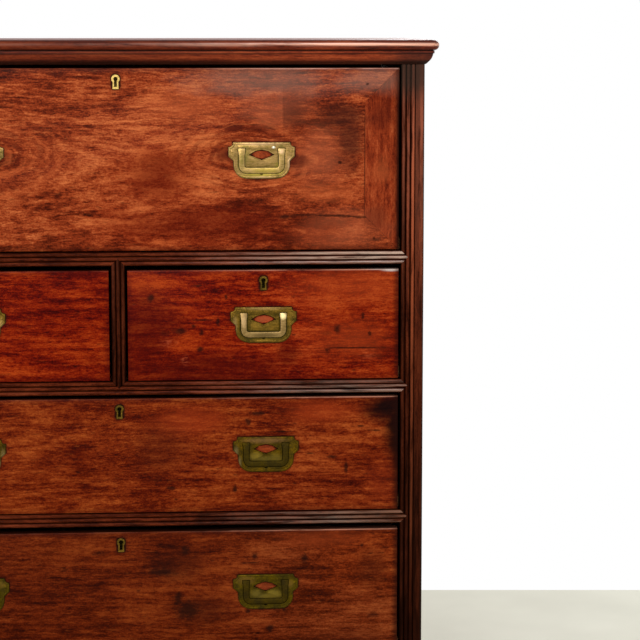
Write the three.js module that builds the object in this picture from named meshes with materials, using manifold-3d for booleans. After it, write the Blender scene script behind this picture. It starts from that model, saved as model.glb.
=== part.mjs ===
// Secretaire campaign chest in hardwood: reeded stiles and rails, a moulded top, turned feet, flush
// brass handles, a deep top drawer with a fall front and a fitted desk, two short drawers and two
// long ones. Millimetres, +Z up, the front towards -Y, the origin at the middle of the footprint.

import * as THREE from "three";
import { mergeVertices } from "three/addons/utils/BufferGeometryUtils.js";
import Module from "manifold-3d";

const wasm = await Module();
wasm.setup();

// Case
const caseWidth = 914;
const caseDepth = 457;
const frontThickness = 22; // stiles, rails, drawer fronts and the fall
const sideThickness = 22;
const backThickness = 9;
const backBoards = 4;
const dustBoardThickness = 12;
const guideHeight = 15;
const partitionThickness = 18;
const fit = 0.3; // hairline between pieces that meet
const over = 1; // how far a cut runs past the face that it opens
const leastRadius = 1; // of a rounded corner

// Top and its under-moulding
const topThickness = 15.5;
const topOverhang = 20.4;
const topCornerRadius = 13;
const filletHeight = 4.5;
const filletOverhang = 13.3;
const ovoloHeight = 16;
const ovoloOverhang = 11.7;
const ovoloFoot = 1.2; // overhang left at the moulding's lower edge
const ovoloBulge = 2.08; // from the straight slope to the fullest part of the curve

// Reeding
const reedWidth = 7;
const reedRise = 2.4;
const reedCount = 3;
const plainBand = 13.5; // outer band of each stile, beside the reeds
const bandArris = 3;
const quirk = 0.4; // from the last reed to the plain band

// Feet
const footHeight = 99.5;
const footRadius = 36;
const footInset = 44;
const spigotRadius = 12;
const spigotLength = 14;
const footSides = 20;

// Drawer fronts and the shadow gaps round them
const fallHeight = 270;
const fallGapBelow = 1.5;
const fallGapAbove = 5.3;
const shortHeight = 165.8;
const shortGapBelow = 1.2;
const shortGapAbove = 6.7;
const upperHeight = 174.1;
const upperGapBelow = 1;
const upperGapAbove = 4.9;
const lowerHeight = 191;
const lowerGapBelow = 1;
const lowerGapAbove = 8;
const endGap = 3.3;
const frontArris = 1.2;

// Drawer boxes
const boxSide = 11;
const boxBottom = 7;
const boxBottomLift = 9; // from the lower edges of the sides to the bottom
const boxTopDrop = 8; // from the top of the front to the top of the sides
const boxInset = 0.5; // from the end of the front to the side
const runClearance = 0.6;
const guideClearance = 1.2;
const backClearance = 10;
const tailCount = 4; // dovetails at each end of a front
const tailLength = 14;
const tailFlare = 2.4; // from the narrow end of a tail to its wide end, on each side
const tailSpace = 8; // between the wide ends of two tails

// Flush handles
const plateWidth = 98;
const plateHeight = 53;
const plateThickness = 6;
const plateProud = 1.2;
const plateTopWidth = 84;
const earHeight = 13.5;
const waistWidth = 83;
const plateFootWidth = 46;
const bailWidth = 67;
const bailDrop = 36.5;
const bailStrap = 8;
const bailEnd = 10;
const bailThickness = 3.2;
const bailCorner = 11;
const bailTop = 8.9; // from the top of the plate to the top of the bail
const bailSunk = 0.2; // from the face of the plate to the face of the bail
const bailRoom = 1; // channel left round the bail
const pinRadius = 1.1;
const pinReach = 4;
const pinSides = 10;
const turningRoom = 0.75; // behind the ends of the bail as they turn
const cusp = 1; // how far the point under each ear stands out of the waist
const lozengeWidth = 38;
const lozengeDrop = 18.2; // from the top of the plate to the middle of its window
const lozengeRise = 7.6;
const lozengeFall = 7.8;
const lozengeShoulder = 20; // width of the window's arched top, where it starts to slope
const nickRadius = 3; // for a fingertip, under the bail
const fallHandleX = 214.5;
const fallHandleDrop = 1.2; // from the middle of the fall to the middle of its handles
const upperHandleX = 219.4;
const lowerHandleX = 218.2;

// Locks
const keyholeDrop = 20; // from the top of the front to the middle of the keyhole
const escutcheonWidth = 12.5;
const escutcheonHeight = 21;
const escutcheonWall = 3;
const escutcheonProud = 0.4;
const lockWidth = 56;
const lockHeight = 34;
const lockThickness = 10;
const lockDepth = 15; // keyhole's depth from the face
const keyholeFoot = 0.72; // width of the keyhole's foot, as a share of its head
const keyholeNeck = 50; // degrees below level at which the round head ends

// Secretaire fittings
const clampWidth = 51.3;
const fallPivotHeight = 24; // from the lower edge of the fall to its hinge axis
const fallLowerArris = 2.5;
const sweepMargin = 0.4;
const fallStandOff = 1.5; // from the fall to the sides of its drawer
const hingeThickness = 2.4;
const hingeHeight = 11;
const hingeLength = 62;
const hingePinRadius = 2.5;
const hingePinReach = 8;
const hingeRoom = 4; // from the end of the fall to the drawer side
const hingePinSides = 12;
const sweepSides = 48; // of the hollow that the turning fall clears in the desk
const deskThickness = 12;
const stayRadius = 150;
const stayWidth = 8;
const stayThickness = 3;
const staySetIn = 4.2; // from the drawer side to the stay
const stayStop = 4;
const stayKeeper = 3;
const stayFootLength = 44;
const stayFootWidth = 14;
const stayFootThickness = 2.4;
const cabinetSetBack = 67; // from the reach of the stays to the face of the cabinet
const cabinetBoard = 7;
const cabinetRear = 3;
const cabinetTopDrop = 10;
const centreBay = 220;
const innerDrawerHeight = 60;
const innerDrawerGap = 1.2; // at the ends, the top and the rear
const innerDrawerRun = 0.5; // under the drawer
const innerDrawerWall = 6;
const knobRadius = 8;
const knobLength = 14;
const knobSides = 12;
const holesPerSide = 3;
const archRise = 12;

// Working values
const railHeight = reedWidth * reedCount;
const halfCase = caseWidth / 2;
const stileWidth = railHeight + plainBand;
const halfOpening = halfCase - stileWidth;
const halfFront = halfOpening - endGap;
const halfInside = halfCase - sideThickness;
const back = (caseDepth + topOverhang) / 2;
const face = back - caseDepth;
const behindFrame = face + frontThickness + fit;
const inBack = back - backThickness - fit;
const boxBack = inBack - backClearance;

function storey(floor, gapBelow, height, gapAbove) {
  const bottom = floor + gapBelow;
  const top = bottom + height;
  return { floor, bottom, top, ceiling: top + gapAbove };
}

const lower = storey(footHeight + railHeight, lowerGapBelow, lowerHeight, lowerGapAbove);
const upper = storey(lower.ceiling + railHeight, upperGapBelow, upperHeight, upperGapAbove);
const short = storey(upper.ceiling + railHeight, shortGapBelow, shortHeight, shortGapAbove);
const fall = storey(short.ceiling + railHeight, fallGapBelow, fallHeight, fallGapAbove);
const underTop = fall.ceiling + ovoloHeight + filletHeight;

// Materials
const finish = (color, roughness, metalness) => ({ color, roughness, metalness });
const caseWood = finish(0x4a1f14, 0.42, 0);
const reedWood = finish(0x54271a, 0.4, 0);
const fallWood = finish(0x9a4526, 0.36, 0);
const clampWood = finish(0x8a3a20, 0.38, 0);
const shortWood = finish(0x84260c, 0.34, 0);
const upperWood = finish(0x64260d, 0.38, 0);
const lowerWood = finish(0x6a250e, 0.38, 0);
const boxWood = finish(0x9b6b40, 0.7, 0);
const innerWood = finish(0x8c5230, 0.55, 0);
const brass = finish(0x8f7a3c, 0.42, 1);
const bailBrass = finish(0xb59a62, 0.35, 1);

// Solids and meshes
function solid(geometry) {
  const bare = geometry.clone();
  bare.deleteAttribute("normal");
  bare.deleteAttribute("uv");
  const merged = mergeVertices(bare, 1e-4);
  const vertProperties = new Float32Array(merged.attributes.position.array);
  const triVerts = new Uint32Array(merged.index.array);
  return new wasm.Manifold(new wasm.Mesh({ numProp: 3, vertProperties, triVerts }));
}

function geometryOf(made) {
  const mesh = made.getMesh();
  const positions = new Float32Array(mesh.numVert * 3);
  for (let i = 0; i < mesh.numVert; i += 1) {
    const start = i * mesh.numProp;
    positions.set(mesh.vertProperties.subarray(start, start + 3), i * 3);
  }
  const geometry = new THREE.BufferGeometry();
  geometry.setAttribute("position", new THREE.BufferAttribute(positions, 3));
  geometry.setIndex(new THREE.BufferAttribute(mesh.triVerts, 1));
  return geometry;
}

const join = (...pieces) => pieces.reduce((sum, piece) => sum.add(piece));
const cut = (piece, ...tools) => tools.reduce((rest, tool) => rest.subtract(tool), piece);

function block([x0, x1], [y0, y1], [z0, z1]) {
  const box = new THREE.BoxGeometry(x1 - x0, y1 - y0, z1 - z0);
  return solid(box.translate((x0 + x1) / 2, (y0 + y1) / 2, (z0 + z1) / 2));
}

function rod(radius, [x0, x1], y, z, sides) {
  const geometry = new THREE.CylinderGeometry(radius, radius, x1 - x0, sides);
  return solid(geometry.rotateZ(Math.PI / 2).translate((x0 + x1) / 2, y, z));
}

function extrude(points, length, holes = []) {
  const shape = new THREE.Shape(points.map(([u, v]) => new THREE.Vector2(u, v)));
  shape.holes = holes.map((hole) => new THREE.Path(hole.map(([u, v]) => new THREE.Vector2(u, v))));
  return new THREE.ExtrudeGeometry(shape, { depth: length, bevelEnabled: false });
}

// Points are (x, y), and the prism runs up.
const upright = (points, [z0, z1]) => solid(extrude(points, z1 - z0).translate(0, 0, z0));

// Points are (x, z) as seen from the front, and the prism runs back.
function facing(points, [y0, y1], holes) {
  return solid(extrude(points, y1 - y0, holes).rotateX(Math.PI / 2).translate(0, y1, 0));
}

// Points are (y, z) as seen from the end, and the prism runs across.
function endwise(points, [x0, x1]) {
  const turn = new THREE.Matrix4().makeBasis(
    new THREE.Vector3(0, 1, 0),
    new THREE.Vector3(0, 0, 1),
    new THREE.Vector3(1, 0, 0),
  );
  return solid(extrude(points, x1 - x0).applyMatrix4(turn).translate(x0, 0, 0));
}

function rightWayOut(corners, faces) {
  let volume = 0;
  for (let i = 0; i < faces.length; i += 3) {
    const [a, b, c] = faces.slice(i, i + 3).map((index) => new THREE.Vector3(...corners[index]));
    volume += a.dot(b.cross(c));
  }
  return volume > 0 ? faces : faces.reverse();
}

// A skin through rings of equally many points, closed by a flat cap on each convex end.
function loft(rings) {
  const count = rings[0].length;
  const last = (rings.length - 1) * count;
  const faces = [];
  for (let start = 0; start < last; start += count) {
    for (let i = 0; i < count; i += 1) {
      const a = start + i;
      const b = start + ((i + 1) % count);
      faces.push(a, b, b + count, a, b + count, a + count);
    }
  }
  for (let i = 1; i < count - 1; i += 1) faces.push(0, i + 1, i, last, last + i, last + i + 1);
  const corners = rings.flat();
  const geometry = new THREE.BufferGeometry();
  geometry.setAttribute("position", new THREE.Float32BufferAttribute(corners.flat(), 3));
  geometry.setIndex(rightWayOut(corners, faces));
  return solid(geometry);
}

const steps = (count) => Array.from({ length: count + 1 }, (_, i) => i / count);

function arc([u, v], radius, from, to, count) {
  return steps(count).map((t) => {
    const angle = THREE.MathUtils.degToRad(from + (to - from) * t);
    return [u + radius * Math.cos(angle), v + radius * Math.sin(angle)];
  });
}

const mirrored = (half) => [...half, ...half.map(([u, v]) => [-u, v]).reverse()];

// Reeds, from one edge of a reeded strip to the other: how far along, and how deep below the crests.
function reeds() {
  return steps(reedCount * 6).map((t) => {
    const along = t * reedCount;
    const angle = Math.PI * (along - Math.floor(along));
    const across = along === reedCount ? 0 : (1 - Math.cos(angle)) / 2;
    return [(Math.floor(along) + across) * reedWidth, reedRise * (1 - Math.abs(Math.sin(angle)))];
  });
}

// Front view of a strip whose two ends come to a right-angled point.
function arrow(halfLength, halfBreadth, grow = 0) {
  const tip = halfLength + halfBreadth + grow * Math.SQRT2;
  const breadth = halfBreadth + grow;
  const shoulder = tip - breadth;
  return [
    [tip, 0],
    [shoulder, breadth],
    [-shoulder, breadth],
    [-tip, 0],
    [-shoulder, -breadth],
    [shoulder, -breadth],
  ];
}

const shift = (points, du, dv) => points.map(([u, v]) => [u + du, v + dv]);
const swap = (points) => points.map(([u, v]) => [-v, u]);

const frameSpan = [face, face + frontThickness];
const through = [face - over, face + frontThickness + over];

function railArrow(floor, span, grow) {
  return facing(shift(arrow(halfOpening, railHeight / 2, grow), 0, floor - railHeight / 2), span);
}

function dividerArrow(span, grow) {
  const middle = (short.floor + short.ceiling) / 2;
  const halfLength = (short.ceiling - short.floor) / 2;
  return facing(shift(swap(arrow(halfLength, railHeight / 2, grow)), 0, middle), span);
}

function rail(floor) {
  const front = reeds().map(([along, depth]) => [face + depth, floor - along]);
  const section = [[face + frontThickness, floor], ...front, [face + frontThickness, floor - railHeight]];
  const reach = halfOpening + railHeight;
  return endwise(section, [-reach, reach]).intersect(railArrow(floor, through, 0));
}

const railFloors = [lower.floor, upper.floor, short.floor, fall.floor];

function stile(side) {
  const reeded = reeds().map(([along, depth]) => [halfOpening + along, face + depth]);
  const corner = [halfCase - bandArris, face + bandArris];
  const section = [
    [halfOpening, face + frontThickness],
    ...reeded,
    [halfOpening + railHeight + quirk, face],
    ...arc(corner, bandArris, -90, 0, 4),
    [halfCase, face + frontThickness],
  ].map(([x, y]) => [x * side, y]);
  const post = upright(side > 0 ? section : section.reverse(), [footHeight, underTop - fit]);
  return cut(post, ...railFloors.map((floor) => railArrow(floor, through, fit)));
}

function divider() {
  const reeded = reeds().map(([along, depth]) => [along - railHeight / 2, face + depth]);
  const section = [[-railHeight / 2, face + frontThickness], ...reeded];
  section.push([railHeight / 2, face + frontThickness]);
  const reach = [short.floor - railHeight, short.ceiling + railHeight];
  const post = upright(section, reach).intersect(dividerArrow(through, 0));
  const half = partitionThickness / 2;
  const partTop = fall.floor - dustBoardThickness - fit;
  const partition = block([-half, half], [behindFrame, inBack], [short.floor + fit, partTop]);
  const neckSpan = [face + frontThickness - over, behindFrame + over];
  const neck = block([-half, half], neckSpan, [short.floor + fit, short.ceiling - fit]);
  return join(post, partition, neck);
}

// Plan of the top and its moulding at one overhang: square at the back, round at the front corners.
function topRing(overhang, z) {
  const radius = Math.max(topCornerRadius - topOverhang + overhang, leastRadius);
  const halfWidth = halfCase + overhang;
  const front = face - overhang;
  const left = arc([radius - halfWidth, front + radius], radius, 180, 270, 5);
  const right = arc([halfWidth - radius, front + radius], radius, 270, 360, 5);
  return [[-halfWidth, back], ...left, ...right, [halfWidth, back]].map(([x, y]) => [x, y, z]);
}

function topBoard() {
  const radius = topThickness / 2;
  const nose = arc([topOverhang - radius, underTop + radius], radius, -90, 90, 8);
  return loft(nose.map(([overhang, z]) => topRing(overhang, z)));
}

function corniceMoulding() {
  const ovoloTop = fall.ceiling + ovoloHeight;
  const ovolo = steps(6).map((t) => {
    const slope = ovoloFoot + (ovoloOverhang - ovoloFoot) * t;
    return [slope + ovoloBulge * Math.sin(Math.PI * t), fall.ceiling + ovoloHeight * t];
  });
  const profile = [...ovolo, [filletOverhang, ovoloTop], [filletOverhang, underTop - fit]];
  const slab = loft(profile.map(([overhang, z]) => topRing(overhang, z)));
  const inside = block(
    [-halfCase - fit, halfCase + fit],
    [face - fit, back + over],
    [fall.ceiling - over, underTop + over],
  );
  const topRail = block(
    [fit - halfOpening, halfOpening - fit],
    [face - 2 * fit, face + frontThickness],
    [fall.ceiling, underTop - fit],
  );
  return join(cut(slab, inside), topRail);
}

function sidePanel(side) {
  const span = side > 0 ? [halfInside, halfCase] : [-halfCase, -halfInside];
  return block(span, [behindFrame, back], [footHeight, underTop - fit]);
}

function backPanel() {
  const half = halfInside - fit;
  const groove = backThickness / 4;
  const grooves = steps(backBoards).slice(1, -1).flatMap((t) => {
    const x = half - 2 * half * t;
    return [[x + groove, back], [x, back - groove], [x - groove, back]];
  });
  const inner = back - backThickness;
  const plan = [[-half, inner], [half, inner], [half, back], ...grooves, [-half, back]];
  return upright(plan, [footHeight, underTop - fit]);
}

// A board between the sides, with a strip along each end that guides the drawers above it.
function drawerBed(floor, thickness) {
  const outer = halfInside - fit;
  const inner = halfFront - boxInset + guideClearance;
  const half = [[outer, floor - thickness], [outer, floor + guideHeight]];
  half.push([inner, floor + guideHeight], [inner, floor]);
  return facing(mirrored(half), [behindFrame, inBack]);
}

const footPlaces = [-1, 1].flatMap((sideways) => {
  const x = sideways * (halfCase - footInset);
  return [[x, face + footInset], [x, back - footInset]];
});

function bottomBoard() {
  const hole = (x, y) => {
    const radius = spigotRadius + fit;
    const depth = spigotLength + fit;
    const geometry = new THREE.CylinderGeometry(radius, radius, depth + over, footSides);
    return solid(geometry.rotateX(Math.PI / 2).translate(x, y, footHeight + (depth - over) / 2));
  };
  return cut(drawerBed(lower.floor, railHeight), ...footPlaces.map(([x, y]) => hole(x, y)));
}

// Turned foot: fractions of its radius and of its height, from the floor up.
function foot() {
  const turned = [
    [0, 0], [0.5, 0], [0.58, 0.03], [0.7, 0.12], [0.84, 0.26], [0.92, 0.42], [0.86, 0.54],
    [0.62, 0.63], [0.56, 0.68], [0.72, 0.71], [0.74, 0.75], [0.64, 0.79], [0.72, 0.86],
    [0.94, 0.91], [1, 0.94], [1, 1],
  ];
  const top = footHeight - fit;
  const profile = turned.map(([r, h]) => new THREE.Vector2(r * footRadius, h * top));
  profile.push(new THREE.Vector2(spigotRadius, top), new THREE.Vector2(spigotRadius, top + spigotLength));
  profile.push(new THREE.Vector2(0, top + spigotLength));
  return solid(new THREE.LatheGeometry(profile, footSides).rotateX(Math.PI / 2));
}

// Rounding of a front edge: how far the edge has drawn in at a depth behind the face.
const drawnIn = (radius, depth) => {
  const left = Math.max(radius - depth, 0);
  return radius - Math.sqrt(radius * radius - left * left);
};

function frontBoard([x0, x1], [z0, z1], lowArris = frontArris) {
  const depths = [0, frontArris * 0.3, frontArris];
  if (lowArris > frontArris) depths.push(lowArris);
  const ring = (depth, y) => {
    const inset = drawnIn(frontArris, depth);
    const low = z0 + drawnIn(lowArris, depth);
    const high = z1 - inset;
    return [[x0 + inset, y, low], [x1 - inset, y, low], [x1 - inset, y, high], [x0 + inset, y, high]];
  };
  const rings = depths.map((depth) => ring(depth, face + depth));
  return loft([...rings, ring(frontThickness, face + frontThickness)]);
}

// Flush handle: a shaped plate let into the front, and a bail that hangs in a channel in it.
function plateOutline(grow = 0) {
  const top = plateHeight / 2 + grow;
  const ear = plateWidth / 2 + grow;
  const shoulder = plateTopWidth / 2 + grow;
  const waist = waistWidth / 2 + grow;
  const footHalf = plateFootWidth / 2;
  const cove = ear - shoulder;
  const earBottom = plateHeight / 2 - cove - earHeight - grow;
  const sweep = arc([0, 0], 1, 0, 90, 5).map(([c, s]) => {
    const drop = earBottom - 2 * cove + top;
    return [footHalf + (waist - footHalf) * c, earBottom - 2 * cove - drop * s];
  });
  const half = [
    ...arc([ear, top], cove, 180, 270, 3),
    [ear, earBottom],
    [waist + cusp, earBottom - cove + cusp],
    [waist, earBottom - cove],
    ...sweep,
  ];
  return mirrored(half);
}

function bailOutline(grow = 0) {
  const outer = bailWidth / 2 + grow;
  const inner = bailWidth / 2 - bailStrap - grow;
  const top = plateHeight / 2 - bailTop + grow;
  const bottom = plateHeight / 2 - bailTop - bailDrop - grow;
  const flare = (bailEnd - bailStrap) / 2;
  const corner = bailCorner + grow;
  const innerCorner = Math.max(corner - bailStrap - 2 * grow, leastRadius);
  const innerBottom = bottom + bailStrap + 2 * grow;
  return mirrored([
    ...arc([inner - innerCorner, innerBottom + innerCorner], innerCorner, -90, 0, 3),
    [inner, top - bailEnd],
    [inner - flare, top - bailEnd / 2],
    [inner - flare, top],
    [outer + flare, top],
    [outer + flare, top - bailEnd / 2],
    [outer, top - bailEnd],
    ...arc([outer - corner, bottom + corner], corner, 0, -90, 4),
  ]);
}

const plateFace = face - plateProud;
const bailAxisY = plateFace + bailSunk + bailThickness / 2;
const bailAxisDrop = bailTop + bailThickness / 2;
const channelDepth = bailAxisY + bailThickness * Math.SQRT1_2 + turningRoom;

function handlePins(x, z, radius, reach) {
  const y = bailAxisY;
  const axis = z + plateHeight / 2 - bailAxisDrop;
  const start = bailWidth / 2 - over;
  const end = bailWidth / 2 + (bailEnd - bailStrap) / 2 + reach;
  return [
    rod(radius, [x + start, x + end], y, axis, pinSides),
    rod(radius, [x - end, x - start], y, axis, pinSides),
  ];
}

// Window in the plate: a low arch over a shallow V. Its sharp ends move further than its sides.
function lozenge(grow = 0) {
  const half = lozengeWidth / 2;
  const end = half + (grow * Math.hypot(half, lozengeFall)) / lozengeFall;
  const shoulder = lozengeShoulder / 2 + grow;
  const springing = lozengeRise * 0.7 + grow;
  const top = [[shoulder, springing], [0, lozengeRise + grow], [-shoulder, springing]];
  return [[-end, 0], [0, -lozengeFall - grow], [end, 0], ...top];
}

const windowAt = (x, z, grow) => shift(lozenge(grow), x, z + plateHeight / 2 - lozengeDrop);

function handlePlate(x, z) {
  const span = [plateFace, plateFace + plateThickness];
  const slab = facing(shift(plateOutline(), x, z), span, [windowAt(x, z)]);
  const deep = [plateFace - over, channelDepth];
  const channel = facing(shift(bailOutline(bailRoom), x, z), deep);
  const nickZ = plateHeight / 2 - bailTop - bailDrop - bailRoom + over;
  const nick = facing(shift(arc([0, 0], nickRadius, 180, 360, 5), x, z + nickZ), deep);
  return cut(slab, channel, nick, ...handlePins(x, z, pinRadius + fit, pinReach + fit));
}

function handleBail(x, z) {
  const span = [bailAxisY - bailThickness / 2, bailAxisY + bailThickness / 2];
  const strap = facing(shift(bailOutline(), x, z), span);
  return join(strap, ...handlePins(x, z, pinRadius, pinReach));
}

// Wood to take away for a plate. An island stands in its window, flush with the front.
function handlePocket(x, z) {
  const span = [face - over, plateFace + plateThickness + fit];
  return facing(shift(plateOutline(fit), x, z), span, [windowAt(x, z, -2 * fit)]);
}

// Lock: a case let into the back of the front, and a key pipe that shows as the escutcheon.
function keyholeOutline(width, height) {
  const radius = width / 2;
  const head = arc([0, height / 2 - radius], radius, -keyholeNeck, 180 + keyholeNeck, 9);
  const footHalf = radius * keyholeFoot;
  return [...head, [-footHalf, -height / 2], [footHalf, -height / 2]];
}

function lockSpace(x, top, grow) {
  const width = escutcheonWidth + 2 * grow;
  const height = escutcheonHeight + 2 * grow;
  const z = top - keyholeDrop;
  const lockBack = face + frontThickness;
  const start = grow ? face - over : face - escutcheonProud;
  const pipe = facing(shift(keyholeOutline(width, height), x, z), [start, lockBack - lockThickness / 2]);
  const half = lockWidth / 2 + grow;
  const low = z - lockHeight / 2 - grow;
  const backSpan = [lockBack - lockThickness - grow, lockBack + (grow ? over : 0)];
  return join(pipe, block([x - half, x + half], backSpan, [low, low + lockHeight + 2 * grow]));
}

function lock(x, top) {
  const slotWidth = escutcheonWidth - 2 * escutcheonWall;
  const slotHeight = escutcheonHeight - 2 * escutcheonWall;
  const slot = shift(keyholeOutline(slotWidth, slotHeight), x, top - keyholeDrop);
  return cut(lockSpace(x, top, 0), facing(slot, [face - over, face + lockDepth]));
}

// Dovetails in front of each box side. Grown, they are the sockets in the back of the front, which
// its ends open and a lap closes in front.
function dovetails([x0, x1], level, grow) {
  const low = level.floor + runClearance;
  const pitch = (level.top - boxTopDrop - low) / tailCount;
  const tip = face + frontThickness - tailLength;
  const slope = tailFlare / tailLength;
  const half = (y) => (pitch - tailSpace) / 2 - slope * (y - tip) + grow * Math.hypot(1, slope);
  const near = tip - grow;
  const far = behindFrame + over;
  const tail = [[near, -half(near)], [far, -half(far)], [far, half(far)], [near, half(near)]];
  const open = grow ? boxInset + over : 0;
  const ends = [[x0 - open, x0 + boxSide + grow], [x1 - boxSide - grow, x1 + open]];
  const heights = steps(tailCount - 1).map((_, i) => low + pitch * (i + 0.5));
  return ends.flatMap((end) => heights.map((z) => endwise(shift(tail, 0, z), end)));
}

function drawerFront([x0, x1], level, handles, lockX) {
  const z = (level.bottom + level.top) / 2;
  const pockets = handles.map((x) => handlePocket(x, z));
  const sockets = dovetails([x0 + boxInset, x1 - boxInset], level, fit);
  const board = frontBoard([x0, x1], [level.bottom, level.top]);
  return cut(board, ...pockets, ...sockets, lockSpace(lockX, level.top, fit));
}

function drawerBox([x0, x1], level) {
  const low = level.floor + runClearance;
  const high = level.top - boxTopDrop;
  const bottom = low + boxBottomLift;
  const start = behindFrame;
  const well = [x0 + boxSide, x1 - boxSide];
  const box = cut(
    block([x0, x1], [start, boxBack], [low, high]),
    block(well, [start - over, boxBack - boxSide], [bottom + boxBottom, high + over]),
    block(well, [start - over, boxBack + over], [low - over, bottom]),
  );
  return join(box, ...dovetails([x0, x1], level, 0));
}

// Fall front: a board with a mitred clamp at each end, on pivots near its lower edge.
const clearRadius = fallPivotHeight + fallGapBelow - sweepMargin - fallLowerArris;
const pivotDepth =
  fallLowerArris + Math.sqrt(clearRadius ** 2 - (fallPivotHeight - fallLowerArris) ** 2);
const pivotY = face + pivotDepth;
const pivotZ = fall.bottom + fallPivotHeight;
const innerFace = frontThickness - pivotDepth; // from the pivot to the writing face
const deskTop = pivotZ + innerFace;
const sweepRadius = Math.hypot(innerFace, fallPivotHeight) + 2 * sweepMargin;
const fallZ = (fall.bottom + fall.top) / 2 - fallHandleDrop;
const fallBox = halfFront - hingeRoom;
const staySpan = [fallBox - boxSide - staySetIn - stayThickness, fallBox - boxSide - staySetIn];

const fallBlank = () => frontBoard([-halfFront, halfFront], [fall.bottom, fall.top], fallLowerArris);

function clampOutline(side, grow) {
  const end = halfFront + over;
  const inner = halfFront - clampWidth - grow;
  const toMitre = clampWidth - grow * Math.tan(Math.PI / 8);
  const toEnd = toMitre - (end - inner);
  const points = [
    [inner, fall.bottom + toMitre],
    [end, fall.bottom + toEnd],
    [end, fall.top - toEnd],
    [inner, fall.top - toMitre],
  ];
  const placed = points.map(([x, z]) => [x * side, z]);
  return side > 0 ? placed : placed.reverse();
}

function fallBoard() {
  const clamps = [-1, 1].map((side) => facing(clampOutline(side, fit), through));
  const pockets = [-1, 1].map((side) => handlePocket(side * fallHandleX, fallZ));
  const recesses = [-1, 1].map((side) => hingeRecess(side));
  return cut(fallBlank(), ...clamps, ...recesses, ...pockets, lockSpace(0, fall.top, fit));
}

// Room in the end of a clamp for the hinge leaf as the fall swings through a right angle.
function hingeRecess(side) {
  const room = hingeHeight / 2 + 2 * fit;
  const nose = arc([0, 0], room, 90, 180, 4);
  const past = innerFace + over;
  const below = -fallPivotHeight - over;
  const points = [[past, below], [past, room], ...nose, [-room, below]];
  const start = fallBox - fit / 2;
  const span = side > 0 ? [start, halfFront + over] : [-halfFront - over, -start];
  return endwise(shift(points, pivotY, pivotZ), span);
}

const hingePin = (side, radius, reach) => {
  const near = fallBox + fit + over;
  const far = fallBox + fit - reach;
  return rod(radius, side > 0 ? [far, near] : [-near, -far], pivotY, pivotZ, hingePinSides);
};

function stayFoot(side, grow) {
  const middle = side * (staySpan[0] + staySpan[1]) / 2;
  const half = stayFootWidth / 2 + grow;
  const z = pivotZ + stayRadius;
  const length = stayFootLength / 2 + grow;
  const outside = pivotY + innerFace;
  const span = [outside - stayFootThickness - grow, outside + (grow ? over : 0)];
  return block([middle - half, middle + half], span, [z - length, z + length]);
}

function fallClamp(side) {
  const shaped = fallBlank().intersect(facing(clampOutline(side, 0), through));
  return cut(
    shaped,
    hingeRecess(side),
    hingePin(side, hingePinRadius + fit, hingePinReach + fit),
    stayFoot(side, fit),
  );
}

function fallHinge(side) {
  const nose = arc([0, 0], hingeHeight / 2, 90, 270, 6);
  const tail = hingeLength - hingeHeight / 2;
  const outline = [...nose, [tail, -hingeHeight / 2], [tail, hingeHeight / 2]];
  const near = fallBox + fit;
  const far = near + hingeThickness;
  const leaf = endwise(shift(outline, pivotY, pivotZ), side > 0 ? [near, far] : [-far, -near]);
  return join(leaf, hingePin(side, hingePinRadius, hingePinReach));
}

// Quadrant stay: an arc about the hinge axis that runs beside the drawer side to a stop.
const keeperFar = frontThickness + fallStandOff - pivotDepth + stayKeeper;
const stopNear = keeperFar + fit;
const stayInner = stayRadius - stayWidth / 2;
const inDegrees = (offset, radius) => THREE.MathUtils.radToDeg(Math.asin(offset / radius));
const stayStart = 90 + inDegrees(innerFace - stayFootThickness / 2, stayRadius);
const stopStart = 180 + inDegrees(stopNear, stayInner);
const stayEnd = 180 + inDegrees(stopNear + stayStop, stayInner);
const quadrant = (radius, from, to, count) => {
  const swept = arc([0, 0], radius, 180 - from, 180 - to, count);
  return shift(swept, pivotY, pivotZ);
};

function stay(side) {
  const outer = stayRadius + stayWidth / 2;
  const band = (from, to, count) => {
    return [...quadrant(outer, from, to, count), ...quadrant(stayInner, to, from, count)].reverse();
  };
  const span = side > 0 ? staySpan : [-staySpan[1], -staySpan[0]];
  const strap = endwise(band(stayStart, stayEnd, 16), span);
  const stopFar = staySpan[1] + staySetIn - 2 * fit;
  const stopSpan = side > 0 ? [staySpan[0], stopFar] : [-stopFar, -staySpan[0]];
  return join(strap, stayFoot(side, 0), endwise(band(stopStart, stayEnd, 1), stopSpan));
}

function secretaireBox() {
  const low = fall.floor + runClearance;
  const high = fall.top - boxTopDrop;
  const start = face + frontThickness + fallStandOff;
  const inner = fallBox - boxSide;
  const well = [-inner, inner];
  const shell = cut(
    block([-fallBox, fallBox], [start, boxBack], [low, high]),
    block(well, [start - over, boxBack - boxSide], [deskTop, high + over]),
    block(well, [start - over, boxBack + over], [low - over, deskTop - deskThickness]),
    rod(sweepRadius, [-fallBox - over, fallBox + over], pivotY, pivotZ, sweepSides),
  );
  const slotStart = staySpan[0] - 2 * fit;
  const slotEnd = pivotY + stayRadius + stayWidth;
  const slots = [[slotStart, inner], [-inner, -slotStart]].map((span) => {
    return block(span, [start - over, slotEnd], [low - over, deskTop + over]);
  });
  const keeperFrom = staySpan[1] + 2 * fit;
  const keepers = [[keeperFrom, inner + over], [-inner - over, -keeperFrom]].map((span) => {
    const z = pivotZ + stayRadius;
    return block(span, [start, start + stayKeeper], [z - stayWidth, z + stayWidth]);
  });
  return join(cut(shell, ...slots), ...keepers);
}

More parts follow.
